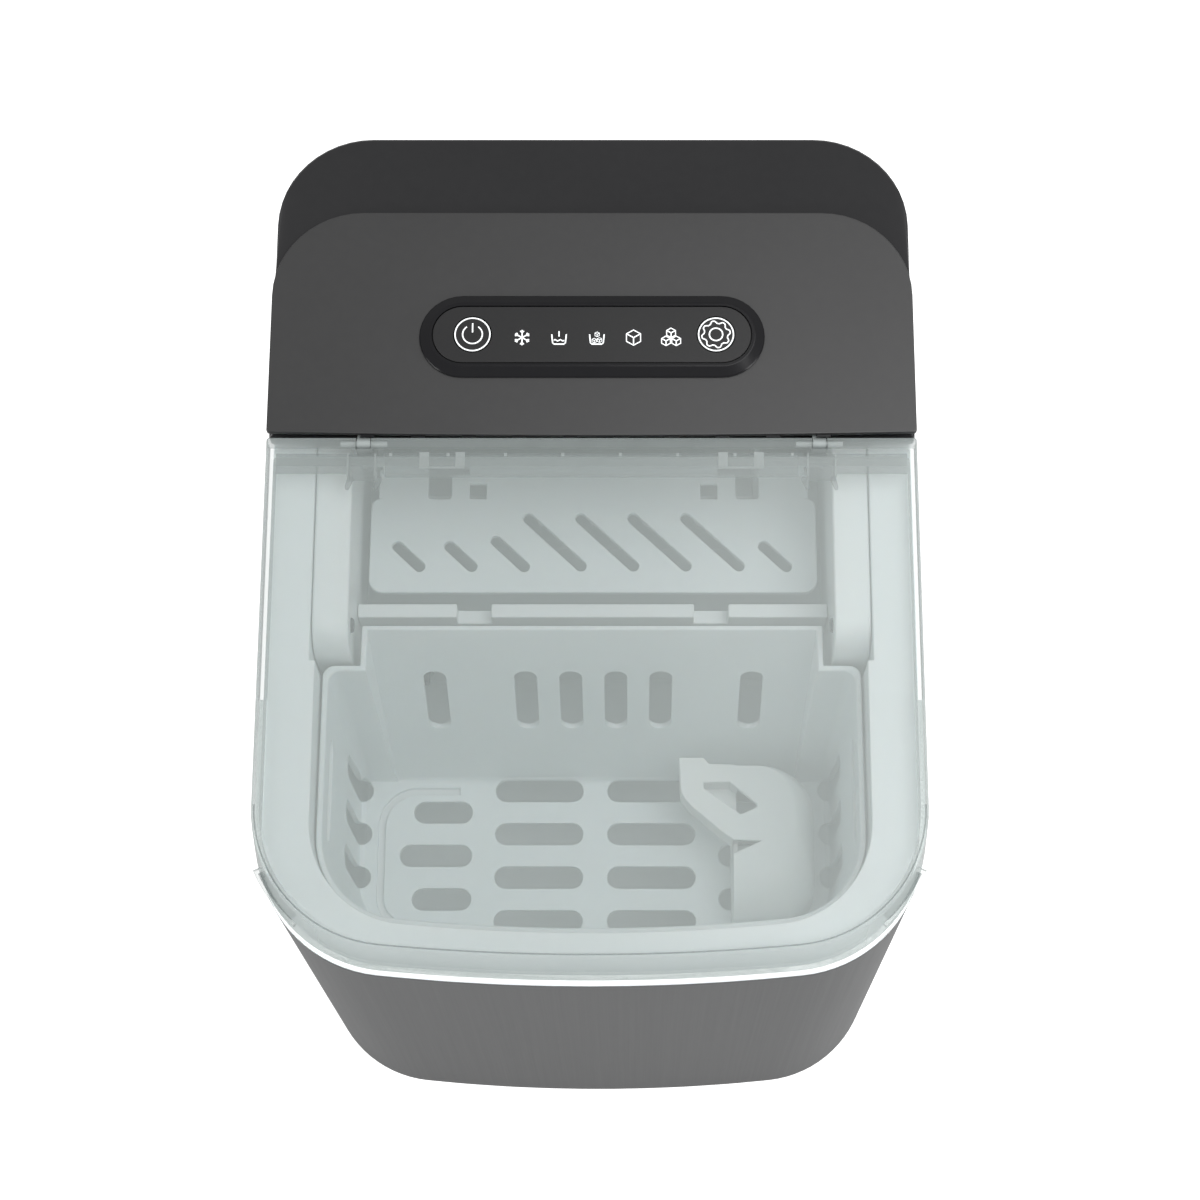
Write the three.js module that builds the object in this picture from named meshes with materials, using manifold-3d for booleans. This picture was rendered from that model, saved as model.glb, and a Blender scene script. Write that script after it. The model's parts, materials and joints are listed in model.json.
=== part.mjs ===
// Countertop bullet-ice maker: a metal-wrapped case with a clear lid over the ice basket, a sloping
// control cover behind it, and the refrigeration and water systems inside.
// Millimetres, +Z up, front towards -Y. The origin is on the floor, at the middle of the footprint.
import * as THREE from 'three';
import { mergeVertices } from 'three/addons/utils/BufferGeometryUtils.js';
import Module from 'manifold-3d';

const wasm = await Module();
wasm.setup();

// ---- Driving dimensions ----
const caseWidth = 220.4;
const caseDepth = 299.2;
const topHeight = 251.8;        // lid plane above the floor, at mid-depth
const topSlope = THREE.MathUtils.degToRad(3);
const caseWall = 2;
const clearance = 0.3;          // gap between pieces that touch
const footHeight = 5.7;
const rimBelowTop = 15;         // the shell's top edge, below the lid plane

// Lid and control cover
const lidWidth = caseWidth + 1.6;
const lidFlare = 6.4;           // how far the front skirt leans out
const lidFront = lidFlare + 0.2 - caseDepth / 2;    // top front edge
const lidCorner = 47.3;
const lidThickness = 2.4;
const lidBand = 3;              // sloping band round the lid's top
const skirtDrop = 12.2;
const seamY = 35.1;             // joint between lid and control cover
const crestY = caseDepth / 2 - 31.8;                // rear edge of the control cover
const deckDrop = 5.8;           // rear edge of the housing, below the lid plane
const coverThickness = 2.1;
const hingeRadius = 2.2;        // rolled rear edge of the lid
const hingePinRadius = 1;
const hingePinLength = 16;
const tongueX = 77.7;
const tongueWidth = 4.6;

// Console
const consoleWidth = 119;
const consoleDepth = 30;
const consoleRise = 2.5;
const consoleChamfer = 3.4;
const consoleY = 71;
const keyRadius = 6.4;
const keyX = 41.85;
const iconOffset = 0.8;

// Tub, basket and pillars
const tubHalf = caseWidth / 2 - 17;
const tubRearHalf = tubHalf + 2;
const tubFront = 17.6 - caseDepth / 2;
const tubWall = 2.5;
const tubFloor = 64.5;
const chamberFront = 6;
const chamberRear = caseDepth / 2 - 37.6;
const chamberFloor = 169;
const pillarWidth = 12.4;
const pillarBottom = 178;
const lipFront = -16;
const basketRim = 222;
const basketFloor = 124;
const basketWall = 2;
const slotWidth = 8.4;
const slotPitch = 16.6;
const firstSlotY = -55.5;
const climbTop = 163;           // top of the slots in the basket's side walls

// Ice tray, evaporator and pusher
const trayAxisY = 66;
const trayAxisZ = 214;
const trayRadius = 36;
const trayWall = 2.2;
const trayLeft = 17.2 - tubRearHalf;
const trayRight = tubRearHalf - 35.2;
const fingerCount = 8;
const fingerRadius = 4.5;
const fingerLength = 39;
const fingerPitch = 14.6;
const pusherHalf = tubRearHalf - 15.9;
const pusherFront = -5;
const pusherThickness = 2.5;
const pusherPivotY = 44;
const pusherPivotZ = 206;
const shaftRadius = 2;

// Machine compartment
const compressorRadius = 46;
const compressorHeight = 128;
const fanRadius = 41;
const fanY = 88;
const fanZ = 88;

// ---- Materials ----
function paint(color, roughness, metalness = 0) {
  return new THREE.MeshStandardMaterial({ color, roughness, metalness });
}
const steel = paint(0x77797b, 0.35, 0.8);
const black = paint(0x1b1c1d, 0.3);
const satin = paint(0x3c3d3f, 0.4);
const clear = paint(0xd3dbd9, 0.1);
const white = paint(0xe6eaea, 0.5);
const softWhite = paint(0xd8dddc, 0.5);
const rubber = paint(0x151515, 0.85);
const zinc = paint(0xa9adb0, 0.4, 0.9);
const copper = paint(0xb06a3c, 0.35, 0.9);
const aluminium = paint(0xc2c5c8, 0.35, 0.9);
const paintBlack = paint(0x202224, 0.45, 0.3);
const circuit = paint(0x1f5a37, 0.55);
const foam = paint(0xefefe9, 0.9);
const hoseClear = paint(0xdfe5e2, 0.3);

// ---- Solids ----
function solid(geometry) {
  const plain = geometry.clone();
  plain.deleteAttribute('normal');
  plain.deleteAttribute('uv');
  const merged = mergeVertices(plain, 1e-4);
  const vertProperties = Float32Array.from(merged.attributes.position.array);
  const triVerts = Uint32Array.from(merged.index.array);
  return new wasm.Manifold(new wasm.Mesh({ numProp: 3, vertProperties, triVerts }));
}

function geometryOf(body) {
  const mesh = body.getMesh();
  const geometry = new THREE.BufferGeometry();
  geometry.setAttribute('position', new THREE.BufferAttribute(mesh.vertProperties, 3));
  geometry.setIndex(new THREE.BufferAttribute(mesh.triVerts, 1));
  geometry.computeVertexNormals();
  return geometry;
}

function join(first, ...others) {
  return others.reduce((sum, other) => sum.add(other), first);
}

function cut(first, ...others) {
  return others.reduce((rest, other) => rest.subtract(other), first);
}

// A block between two corners.
function block(x0, x1, y0, y1, z0, z1) {
  const box = new THREE.BoxGeometry(x1 - x0, y1 - y0, z1 - z0);
  return solid(box.translate((x0 + x1) / 2, (y0 + y1) / 2, (z0 + z1) / 2));
}

// A rod from (x, y, z) along an axis, for its length.
function rod(axis, radius, x, y, z, length, sides = 12, endRadius = radius) {
  const rodShape = new THREE.CylinderGeometry(endRadius, radius, length, sides);
  rodShape.translate(0, length / 2, 0);
  if (axis === 'x') rodShape.rotateZ(-Math.PI / 2);
  if (axis === 'z') rodShape.rotateX(Math.PI / 2);
  return solid(rodShape.translate(x, y, z));
}

// Closed rings of equal count, lowest first, joined into one body.
function loft(rings) {
  const count = rings[0].length;
  const positions = rings.flat().flatMap((point) => [point.x, point.y, point.z]);
  const index = [];
  for (let level = 0; level + 1 < rings.length; level += 1) {
    for (let i = 0; i < count; i += 1) {
      const a = level * count + i;
      const b = level * count + ((i + 1) % count);
      index.push(a, b, b + count, a, b + count, a + count);
    }
  }
  const flat = rings[0].map((point) => new THREE.Vector2(point.x, point.y));
  const topStart = (rings.length - 1) * count;
  for (const [a, b, c] of THREE.ShapeUtils.triangulateShape(flat, [])) {
    index.push(a, c, b);
  }
  const topFlat = rings.at(-1).map((point) => new THREE.Vector2(point.x, point.y));
  for (const [a, b, c] of THREE.ShapeUtils.triangulateShape(topFlat, [])) {
    index.push(topStart + a, topStart + b, topStart + c);
  }
  const geometry = new THREE.BufferGeometry();
  geometry.setAttribute('position', new THREE.Float32BufferAttribute(positions, 3));
  geometry.setIndex(index);
  return solid(geometry);
}

function atHeight(points, z) {
  return points.map((point) => new THREE.Vector3(point.x, point.y, z));
}

function prism(points, z0, z1) {
  return loft([atHeight(points, z0), atHeight(points, z1)]);
}

// A flat outline in the YZ plane, drawn as (y, z), run across X.
function acrossX(points, x0, x1) {
  const shape = new THREE.Shape(points.map(([y, z]) => new THREE.Vector2(y, z)));
  const run = new THREE.ExtrudeGeometry(shape, { depth: x1 - x0, bevelEnabled: false });
  // Shape x becomes Y, shape y becomes Z, and the run goes along X.
  run.applyMatrix4(new THREE.Matrix4().set(0, 0, 1, x0, 1, 0, 0, 0, 0, 1, 0, 0, 0, 0, 0, 1));
  return solid(run);
}

function addArc(points, x, y, radius, from, to, steps) {
  for (let i = 0; i <= steps; i += 1) {
    const angle = THREE.MathUtils.degToRad(from + ((to - from) * i) / steps);
    const point = new THREE.Vector2(x + radius * Math.cos(angle), y + radius * Math.sin(angle));
    const last = points.at(-1);
    if (!last || last.distanceTo(point) > 1e-4) points.push(point);
  }
}

// Plan outline with a bowed front, round front corners and round rear corners, anticlockwise.
function planOutline(plan, inset = 0) {
  const half = plan.width / 2 - inset;
  const front = plan.front + inset;
  const rear = plan.rear - inset;
  const corner = Math.max(plan.frontCorner - inset, 1);
  const rearCorner = Math.max(plan.rearCorner - inset, 0.5);
  const bow = plan.bow - inset;
  const tilt = Math.asin((half - corner) / (bow - corner));
  const tiltDegrees = THREE.MathUtils.radToDeg(tilt);
  const cornerY = front + bow - (bow - corner) * Math.cos(tilt);
  const points = [];
  addArc(points, 0, front + bow, bow, -90 - tiltDegrees, -90 + tiltDegrees, 6);
  addArc(points, half - corner, cornerY, corner, -90 + tiltDegrees, 0, 7);
  addArc(points, half - rearCorner, rear - rearCorner, rearCorner, 0, 90, 6);
  addArc(points, rearCorner - half, rear - rearCorner, rearCorner, 90, 180, 6);
  addArc(points, corner - half, cornerY, corner, 180, 270 - tiltDegrees, 7);
  points.pop();
  return points;
}

// A slot with round ends, centred at x, y.
function slotOutline(x, y, length, width, alongX = true, steps = 4) {
  const reach = (length - width) / 2;
  const points = [];
  const dx = alongX ? reach : 0;
  const dy = alongX ? 0 : reach;
  const turn = alongX ? 0 : 90;
  addArc(points, x + dx, y + dy, width / 2, -90 + turn, 90 + turn, steps);
  addArc(points, x - dx, y - dy, width / 2, 90 + turn, 270 + turn, steps);
  return points;
}

// A tube along a smooth line through the points.
function tube(route, radius, steps, sides = 8) {
  const stops = route.map((point) => new THREE.Vector3(...point));
  const path = new THREE.CatmullRomCurve3(stops, false, 'centripetal');
  const ring = new THREE.Shape();
  for (let i = 0; i < sides; i += 1) {
    const angle = (2 * Math.PI * i) / sides;
    const step = i ? 'lineTo' : 'moveTo';
    ring[step](radius * Math.cos(angle), radius * Math.sin(angle));
  }
  return solid(new THREE.ExtrudeGeometry(ring, { steps, extrudePath: path }));
}

// Space above a plane parallel to the lid plane.
function aboveTop(offset) {
  const space = new THREE.BoxGeometry(600, 800, 200).translate(0, 0, 100 + offset);
  return solid(space.rotateX(topSlope).translate(0, 0, topHeight));
}

const group = new THREE.Group();
// The lid, cover and console are drawn flat, with z = 0 on the lid plane, and lean with it.
const topFrame = new THREE.Group();
topFrame.position.z = topHeight;
topFrame.rotation.x = topSlope;
group.add(topFrame);

function addPiece(name, body, material, parent = group) {
  const mesh = new THREE.Mesh(geometryOf(body), material);
  mesh.name = name;
  parent.add(mesh);
  return mesh;
}

// ---- Case ----
const casePlan = {
  width: caseWidth,
  front: -caseDepth / 2,
  rear: caseDepth / 2,
  frontCorner: 45.3,
  rearCorner: 33,
  bow: 675,
};
const baseBottom = footHeight + clearance;
const panelHalf = 74.7;
const panelThickness = 3.5;

function makeFeet() {
  const profile = [[0, 0], [9.5, 0], [11, 1.2], [11, 4], [9, footHeight], [0, footHeight]];
  const lathe = new THREE.LatheGeometry(profile.map(([r, z]) => new THREE.Vector2(r, z)), 16);
  const foot = solid(lathe.rotateX(Math.PI / 2));
  const footX = caseWidth / 2 - 26.2;
  const frontY = 45.6 - caseDepth / 2;
  const rearY = caseDepth / 2 - 31.6;
  addPiece('foot_front_left', foot, rubber).position.set(-footX, frontY, 0);
  addPiece('foot_front_right', foot, rubber).position.set(footX, frontY, 0);
  addPiece('foot_rear_left', foot, rubber).position.set(-footX, rearY, 0);
  addPiece('foot_rear_right', foot, rubber).position.set(footX, rearY, 0);
}

function makeBasePan() {
  const inset = caseWall + 0.6;
  const panWall = 2.4;
  const panHeight = 20;
  const tray = prism(planOutline(casePlan, inset), baseBottom, baseBottom + panHeight);
  const hollowPlan = planOutline(casePlan, inset + panWall);
  const hollow = prism(hollowPlan, baseBottom + panWall, baseBottom + panHeight + 1);
  // The rear wall stands aside for the rear panel.
  const gapHalf = panelHalf + 1;
  const rear = caseDepth / 2;
  const rearGap = block(-gapHalf, gapHalf, rear - 8, rear, baseBottom + panWall, 60);
  const panelSpace = block(-gapHalf, gapHalf, rear - panelThickness - 0.6, rear, 0, 60);
  const vents = [];
  for (let row = 0; row < 5; row += 1) {
    vents.push(prism(slotOutline(-10, -70 + row * 12, 60, 5), 0, 20));
  }
  addPiece('base_pan', cut(tray, hollow, rearGap, panelSpace, ...vents), paintBlack);
}

function makeShell() {
  const outer = prism(planOutline(casePlan), baseBottom + 0.4, topHeight + 20);
  const inner = prism(planOutline(casePlan, caseWall), baseBottom - 1, topHeight + 21);
  const gapHalf = panelHalf + 0.4;
  const rearGap = block(-gapHalf, gapHalf, caseDepth / 2 - 10, caseDepth, 0, topHeight + 30);
  const vents = [];
  for (let i = 0; i < 8; i += 1) {
    const slot = slotOutline(fanY - 35 + i * 10, 0, 62, 4.5, false, 3).map(({ x, y }) => [x, y + fanZ]);
    vents.push(acrossX(slot, -caseWidth, caseWidth));
  }
  addPiece('body_shell', cut(outer, inner, rearGap, aboveTop(-rimBelowTop), ...vents), steel);
}

const glandX = -56;
const glandZ = 34;
const glandRadius = 6;
const drainX = 54;
const drainZ = 30;
const drainRadius = 8;
const screwSpots = [[-68, 16], [68, 16], [-68, 216], [68, 216]];

function makeRearPanel() {
  const rear = caseDepth / 2;
  const panel = block(-panelHalf, panelHalf, rear - panelThickness, rear, baseBottom + 0.4, topHeight + 20);
  const cuts = [aboveTop(-rimBelowTop)];
  for (const x of [-33, 33]) {
    for (let row = 0; row < 8; row += 1) {
      const slot = prism(slotOutline(x, 0, 50, 5, true, 2), -8, 8);
      cuts.push(slot.rotate([90, 0, 0]).translate([0, rear, 62 + row * 14]));
    }
  }
  cuts.push(rod('y', glandRadius + clearance, glandX, rear - 10, glandZ, 20, 16));
  cuts.push(rod('y', drainRadius + 2.3, drainX, rear - 10, drainZ, 20, 16));
  for (const [x, z] of screwSpots) {
    cuts.push(rod('y', 1.9, x, rear - 10, z, 20, 10));
    cuts.push(rod('y', 3.6, x, rear - 2.1, z, 5, 12));
  }
  addPiece('rear_panel', cut(panel, ...cuts), black);
}

function makeScrews() {
  const shank = rod('y', 1.5, 0, -12, 0, 12.2, 8);
  const head = rod('y', 3.1, 0, 0, 0, 1.6, 12);
  const screw = join(shank, head);
  screwSpots.forEach(([x, z], i) => {
    addPiece(`panel_screw_${i + 1}`, screw, zinc).position.set(x, caseDepth / 2 - 1.8, z);
  });
}

// ---- Tub ----
const tubPlan = { width: 2 * tubHalf, front: tubFront, rear: 60, frontCorner: 34, rearCorner: 4, bow: 640 };

// The tub's hollow, or with a positive grow the tub's outside.
function tubSpace(grow) {
  const topZ = topHeight + 20;
  const frontPlan = { ...tubPlan, rear: chamberFront };
  const front = prism(planOutline(frontPlan, -grow), tubFloor - grow, topZ);
  const rearHalf = tubRearHalf + grow;
  const rearTub = block(-rearHalf, rearHalf, -40 - grow, chamberFront + grow, 150 - grow, topZ);
  const rampStart = chamberFront + grow;
  const chamber = acrossX([
    [-20, topZ], [-20, 150 - grow], [rampStart - 2, 136 - grow], [rampStart + 1, 136 - grow],
    [26, chamberFloor - 3 - grow], [chamberRear + grow, chamberFloor - grow], [chamberRear + grow, topZ],
  ], -rearHalf, rearHalf);
  return join(front, rearTub, chamber);
}

const hoseX = -70;
const hoseRadius = 3.5;
const pipeRadius = 2.5;
const suctionX = -40;
const overheadZ = 236.5;        // pipes and hose that cross above the tray

function makeLiner() {
  const flangeTop = -rimBelowTop + clearance + 2;
  const flange = cut(
    prism(planOutline(casePlan, 0.2), 200, topHeight + 20),
    aboveTop(flangeTop),
  ).intersect(aboveTop(-rimBelowTop + clearance));
  const outside = cut(tubSpace(tubWall), aboveTop(flangeTop));
  // The chute lip crosses the tub below the pillars and rises between them.
  const lipHalf = tubRearHalf - pillarWidth - 2 * clearance;
  const lip = cut(
    join(
      block(-tubRearHalf - 1, tubRearHalf + 1, lipFront, lipFront + 5, 166, pillarBottom - clearance),
      block(-lipHalf, lipHalf, lipFront, lipFront + 5, 170, 211),
    ),
    block(-47.5, -35.5, lipFront - 1, lipFront + 6, 204, 220),
    block(35.5, 47.5, lipFront - 1, lipFront + 6, 204, 220),
  );
  const shell = cut(
    join(flange, outside),
    tubSpace(0),
    rod('y', hoseRadius + 1.2, hoseX, chamberRear - 4, overheadZ - 0.5, 12, 12),
    rod('y', pipeRadius + 1, suctionX, chamberRear - 4, overheadZ - 0.5, 12, 12),
    rod('y', hoseRadius + 0.6, hoseX, 0, 76, 16, 12),
    rod('y', hoseRadius + 0.6, drainX, 0, 72, 16, 12),
  );
  addPiece('inner_liner', join(shell, lip), white);
}

function makeInsulation() {
  const outer = prism(planOutline(casePlan, caseWall + 0.8), 40, 222);
  const tubHole = join(tubSpace(tubWall + 0.6), prism(planOutline(tubPlan, -tubWall - 0.6), 30, 300));
  const rear = block(-150, 150, chamberFront - 3, 200, 0, 300);
  addPiece('insulation_jacket', cut(outer, tubHole, rear), foam);
}

// ---- Basket ----
const basketTopRing = {
  half: tubHalf - 0.9,
  front: tubFront + 1.5,
  corner: 30,
  bow: 640,
  stepY: -37,
  narrowHalf: tubRearHalf - 15.7,
  rear: -22.5,
};
const basketBottomRing = {
  half: tubHalf - 2.9,
  front: tubFront + 13,
  corner: 26,
  bow: 640,
  stepY: -49.4,
  narrowHalf: tubRearHalf - 18.2,
  rear: -48.8,
};

// Basket outline at one level: round front, and a narrower rear part that fits between the pillars.
function basketOutline(ring, inset) {
  const half = ring.half - inset;
  const narrow = ring.narrowHalf - inset;
  const corner = ring.corner - inset;
  const front = ring.front + inset;
  const bow = ring.bow - inset;
  const tilt = Math.asin((half - corner) / (bow - corner));
  const tiltDegrees = THREE.MathUtils.radToDeg(tilt);
  const cornerY = front + bow - (bow - corner) * Math.cos(tilt);
  const stepY = ring.stepY - inset;
  const rear = ring.rear - inset;
  const shoulder = 4;
  const points = [];
  addArc(points, 0, front + bow, bow, -90 - tiltDegrees, -90 + tiltDegrees, 6);
  addArc(points, half - corner, cornerY, corner, -90 + tiltDegrees, 0, 7);
  addArc(points, half - shoulder, stepY - shoulder, shoulder, 0, 90, 3);
  points.push(new THREE.Vector2(narrow, stepY));
  points.push(new THREE.Vector2(narrow, rear));
  points.push(new THREE.Vector2(-narrow, rear));
  points.push(new THREE.Vector2(-narrow, stepY));
  addArc(points, shoulder - half, stepY - shoulder, shoulder, 90, 180, 3);
  addArc(points, corner - half, cornerY, corner, 180, 270 - tiltDegrees, 7);
  points.pop();
  return points;
}

// Every size of the basket outline, part of the way from the floor to the rim.
function basketRingAt(z) {
  const share = (z - basketFloor) / (basketRim - basketFloor);
  const mixed = {};
  for (const key of Object.keys(basketTopRing)) {
    mixed[key] = THREE.MathUtils.lerp(basketBottomRing[key], basketTopRing[key], share);
  }
  return mixed;
}

function basketBody(inset, z0, z1) {
  return loft([
    atHeight(basketOutline(basketRingAt(z0), inset), z0),
    atHeight(basketOutline(basketRingAt(z1), inset), z1),
  ]);
}

function makeBasket() {
  const outer = basketBody(0, basketFloor - basketWall, basketRim);
  const inner = basketBody(basketWall, basketFloor, basketRim + 3);
  const openings = [];
  const floorSlot = (x, y, length) => {
    openings.push(prism(slotOutline(x, y, length, slotWidth, true, 3), basketFloor - 8, basketFloor + 4));
  };
  for (const side of [-1, 1]) {
    for (let row = 0; row < 4; row += 1) floorSlot(side * 21, firstSlotY - row * slotPitch, 33);
    [22, 27, 22].forEach((length, row) => {
      floorSlot(side * (46 + length / 2), firstSlotY - (row + 0.5) * slotPitch, length);
    });
    for (let row = 0; row < 3; row += 1) {
      // A round-ended hole where wall meets floor, and a slot that climbs the wall from it.
      const y = firstSlotY - row * slotPitch;
      const hole = slotOutline(side * (tubHalf + 2), y, 23.4, slotWidth, true, 4);
      openings.push(prism(hole, basketFloor - 8, basketFloor + 5));
      const start = side > 0 ? tubHalf - 5.4 : -tubHalf - 5.8;
      const low = y - slotWidth / 2;
      openings.push(block(start, start + 11.2, low, low + slotWidth, basketFloor - 8, climbTop));
    }
    const grip = slotOutline(-77, 206, 36, 8, true, 3).map(({ x, y }) => [x, y]);
    const gripStart = side > 0 ? tubHalf - 9.2 : -tubHalf - 5.8;
    openings.push(acrossX(grip, gripStart, gripStart + 15));
  }
  for (const x of [-56.2, -24, -8, 8, 24, 56.2]) {
    const slot = prism(slotOutline(x, 178, 37, 8, false, 3), -60, -12);
    openings.push(slot.rotate([90, 0, 0]).translate([0, -80, 0]));
  }
  addPiece('ice_basket', cut(outer, inner, ...openings), softWhite);
}

// ---- Scoop ----
function makeScoop() {
  const bottom = basketFloor + 0.4;
  const bowlTop = bottom + 27;
  const rearEdge = -53;
  const bowl = [];
  addArc(bowl, 63, rearEdge - 38, 18.5, -90, 0, 4);
  addArc(bowl, 66.5, rearEdge - 15, 15, 0, 90, 4);
  bowl.push(new THREE.Vector2(50.5, rearEdge));
  bowl.push(new THREE.Vector2(50.5, rearEdge - 56.5));
  const middle = new THREE.Vector2(66, rearEdge - 28.2);
  const towards = (share) => bowl.map((point) => point.clone().lerp(middle, share));
  const inset = towards(0.1);
  const crown = towards(0.06);
  const bowlBody = loft([atHeight(bowl, bottom), atHeight(bowl, bowlTop - 5), atHeight(crown, bowlTop)]);
  const hollow = prism(inset, bottom - 1, bowlTop - 2.2);
  const handle = [
    [31, 3.5], [40, 3.5], [42.5, 0], [51.5, 0], [51.5, -34], [47, -29], [35, -14.5], [31, -10.5],
  ];
  const gap = [[39.5, -4.5], [48.5, -4.5], [48.5, -19.5], [44, -19.5]];
  const toPoints = (list) => list.map(([x, y]) => new THREE.Vector2(x, y + rearEdge)).reverse();
  const handleBody = cut(
    prism(toPoints(handle), bowlTop - 12, bowlTop),
    prism(toPoints(gap), bowlTop - 20, bowlTop + 1),
  );
  addPiece('ice_scoop', join(cut(bowlBody, hollow), handleBody), white);
}

// ---- Pillars beside the ice tray ----
function makePillars() {
  const inner = tubRearHalf - clearance - pillarWidth;
  const outer = tubRearHalf - clearance;
  const profile = [[chamberRear - 3, pillarBottom], [chamberRear - 3, 260], [-24, 260], [-24, 236]];
  for (let i = 0; i <= 5; i += 1) {
    const angle = THREE.MathUtils.degToRad(90 + 18 * i);
    profile.push([-24 + 11.5 * Math.cos(angle), 223.5 + 12.5 * Math.sin(angle)]);
  }
  profile.push([-35.5, pillarBottom + 12], [-24, pillarBottom]);
  for (const side of [-1, 1]) {
    const range = side > 0 ? [inner, outer] : [-outer, -inner];
    const pillar = cut(
      acrossX(profile.slice().reverse(), ...range),
      aboveTop(-rimBelowTop + 1.6),
      rod('x', 4.4, side * inner - 4, trayAxisY, trayAxisZ, 8.6, 12),
      rod('x', shaftRadius + clearance, side * inner - 5, pusherPivotY, pusherPivotZ, 10, 12),
      rod('x', 3, side * inner - 6, -24, 226, 12, 12),
    );
    addPiece(side > 0 ? 'pillar_right' : 'pillar_left', pillar, white);
    const lens = rod('x', 2.6, side > 0 ? inner - 1 : -inner - 4.6, -24, 226, 5.6, 12);
    addPiece(side > 0 ? 'ice_sensor_right' : 'ice_sensor_left', lens, black);
  }
}

// ---- Water tray, its motor and the ice pusher ----
function trayArc(radius, from, to, steps) {
  const points = [];
  for (let i = 0; i <= steps; i += 1) {
    const angle = THREE.MathUtils.degToRad(from + ((to - from) * i) / steps);
    points.push([trayAxisY + radius * Math.sin(angle), trayAxisZ - radius * Math.cos(angle)]);
  }
  return points;
}

function makeTray() {
  const reach = 55;
  const outer = trayRadius + trayWall;
  const trough = acrossX(
    [...trayArc(outer, -reach, reach, 12), ...trayArc(trayRadius, reach, -reach, 12)],
    trayLeft, trayRight,
  );
  const endPlate = [[trayAxisY, trayAxisZ + 4], ...trayArc(outer, -reach, reach, 12)];
  const hubRight = rod('x', 6, trayRight - 8, trayAxisY, trayAxisZ, 8, 16);
  const tray = join(
    trough,
    acrossX(endPlate, trayLeft, trayLeft + trayWall),
    acrossX(endPlate, trayRight - trayWall, trayRight),
    rod('x', 6, trayLeft, trayAxisY, trayAxisZ, 5, 16),
    rod('x', 4, trayLeft - 6, trayAxisY, trayAxisZ, 8, 12),
    hubRight,
  );
  const shaftHole = rod('x', 3.3, trayRight - 6, trayAxisY, trayAxisZ, 8, 12);
  addPiece('water_tray', cut(tray, shaftHole), softWhite);
}

function makeTrayMotor() {
  const start = trayRight + 3;
  const ears = block(start + 2, start + 4, trayAxisY - 4, trayAxisY + 4, trayAxisZ - 22, trayAxisZ + 22);
  const motor = join(
    rod('x', 16.5, start, trayAxisY, trayAxisZ, 15, 24),
    rod('x', 6, start - 1.6, trayAxisY, trayAxisZ, 3, 16),
    rod('x', 3, start - 8, trayAxisY, trayAxisZ, 9, 12),
    ears,
    block(start + 3, start + 13, trayAxisY + 10, trayAxisY + 22, trayAxisZ - 7, trayAxisZ + 7),
  );
  addPiece('tray_motor', motor, zinc);
}

function makePusher() {
  const top = pusherPivotZ;
  const bottom = top - pusherThickness;
  const corner = 5;
  const plate = [];
  addArc(plate, pusherHalf - corner, pusherFront + corner, corner, -90, 0, 3);
  addArc(plate, pusherHalf - 3, 27.5, 3, 0, 90, 3);
  plate.push(new THREE.Vector2(76.7, 30.5), new THREE.Vector2(76.7, pusherPivotY));
  plate.push(new THREE.Vector2(59.1, pusherPivotY), new THREE.Vector2(59.1, 30.5));
  plate.push(new THREE.Vector2(50.8, 30.5), new THREE.Vector2(50.8, 40), new THREE.Vector2(44.4, 40));
  plate.push(new THREE.Vector2(44.4, pusherPivotY));
  const mirrored = plate.map(({ x, y }) => new THREE.Vector2(-x, y)).reverse();
  const body = prism([...plate, ...mirrored], bottom, top);
  const parts = [body];
  for (const [x0, x1] of [[-75.4, -59.1], [-44.4, 44.4], [59.1, 75.4]]) {
    parts.push(rod('x', 4, x0, pusherPivotY, pusherPivotZ, x1 - x0, 14));
  }
  const cuts = [rod('x', shaftRadius + clearance, -90, pusherPivotY, pusherPivotZ, 180, 12)];
  for (const x of [-41.3, 41.3]) cuts.push(block(x - 3, x + 3, 30.5, 36.5, bottom - 1, top + 1));
  // Slanting drain slots: long in the middle, short at the ends.
  const slotReach = [[-65.5, 8.6, 15], [-47, 8.6, 15], [-29.5, 9.6, 18], [-13.7, 14, 30], [4.9, 14, 30],
    [23.5, 14, 30], [42.3, 14, 30], [64.5, 8.6, 15]];
  for (const [x, y, length] of slotReach) {
    const slot = prism(slotOutline(0, 0, length, 4, true, 3), bottom - 1, top + 1);
    cuts.push(slot.rotate([0, 0, -44]).translate([x, y, 0]));
  }
  addPiece('ice_pusher', cut(join(...parts), ...cuts), softWhite);
  const reachX = tubRearHalf - clearance - pillarWidth + 4;
  const shaft = rod('x', shaftRadius, -reachX, pusherPivotY, pusherPivotZ, 2 * reachX, 12);
  addPiece('pusher_shaft', shaft, zinc);
}

// ---- Evaporator ----
function makeEvaporator() {
  const barBottom = trayAxisZ + 10;
  const firstX = -58;
  const lastX = firstX + (fingerCount - 1) * fingerPitch;
  const parts = [block(firstX - 8, lastX + 8, trayAxisY - 7, trayAxisY + 7, barBottom, barBottom + 7)];
  for (let i = 0; i < fingerCount; i += 1) {
    const x = firstX + i * fingerPitch;
    parts.push(rod('z', fingerRadius, x, trayAxisY, barBottom - fingerLength + 4, fingerLength - 3, 10));
    parts.push(rod('z', 2.5, x, trayAxisY, barBottom - fingerLength, 4.5, 10, fingerRadius));
  }
  // Hanger straps that carry the bar under the housing.
  for (const x of [firstX - 5, lastX + 5]) {
    parts.push(block(x - 2, x + 2, trayAxisY - 5, trayAxisY + 5, barBottom + 6, barBottom + 15));
  }
  addPiece('evaporator', join(...parts), zinc);
}

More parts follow.
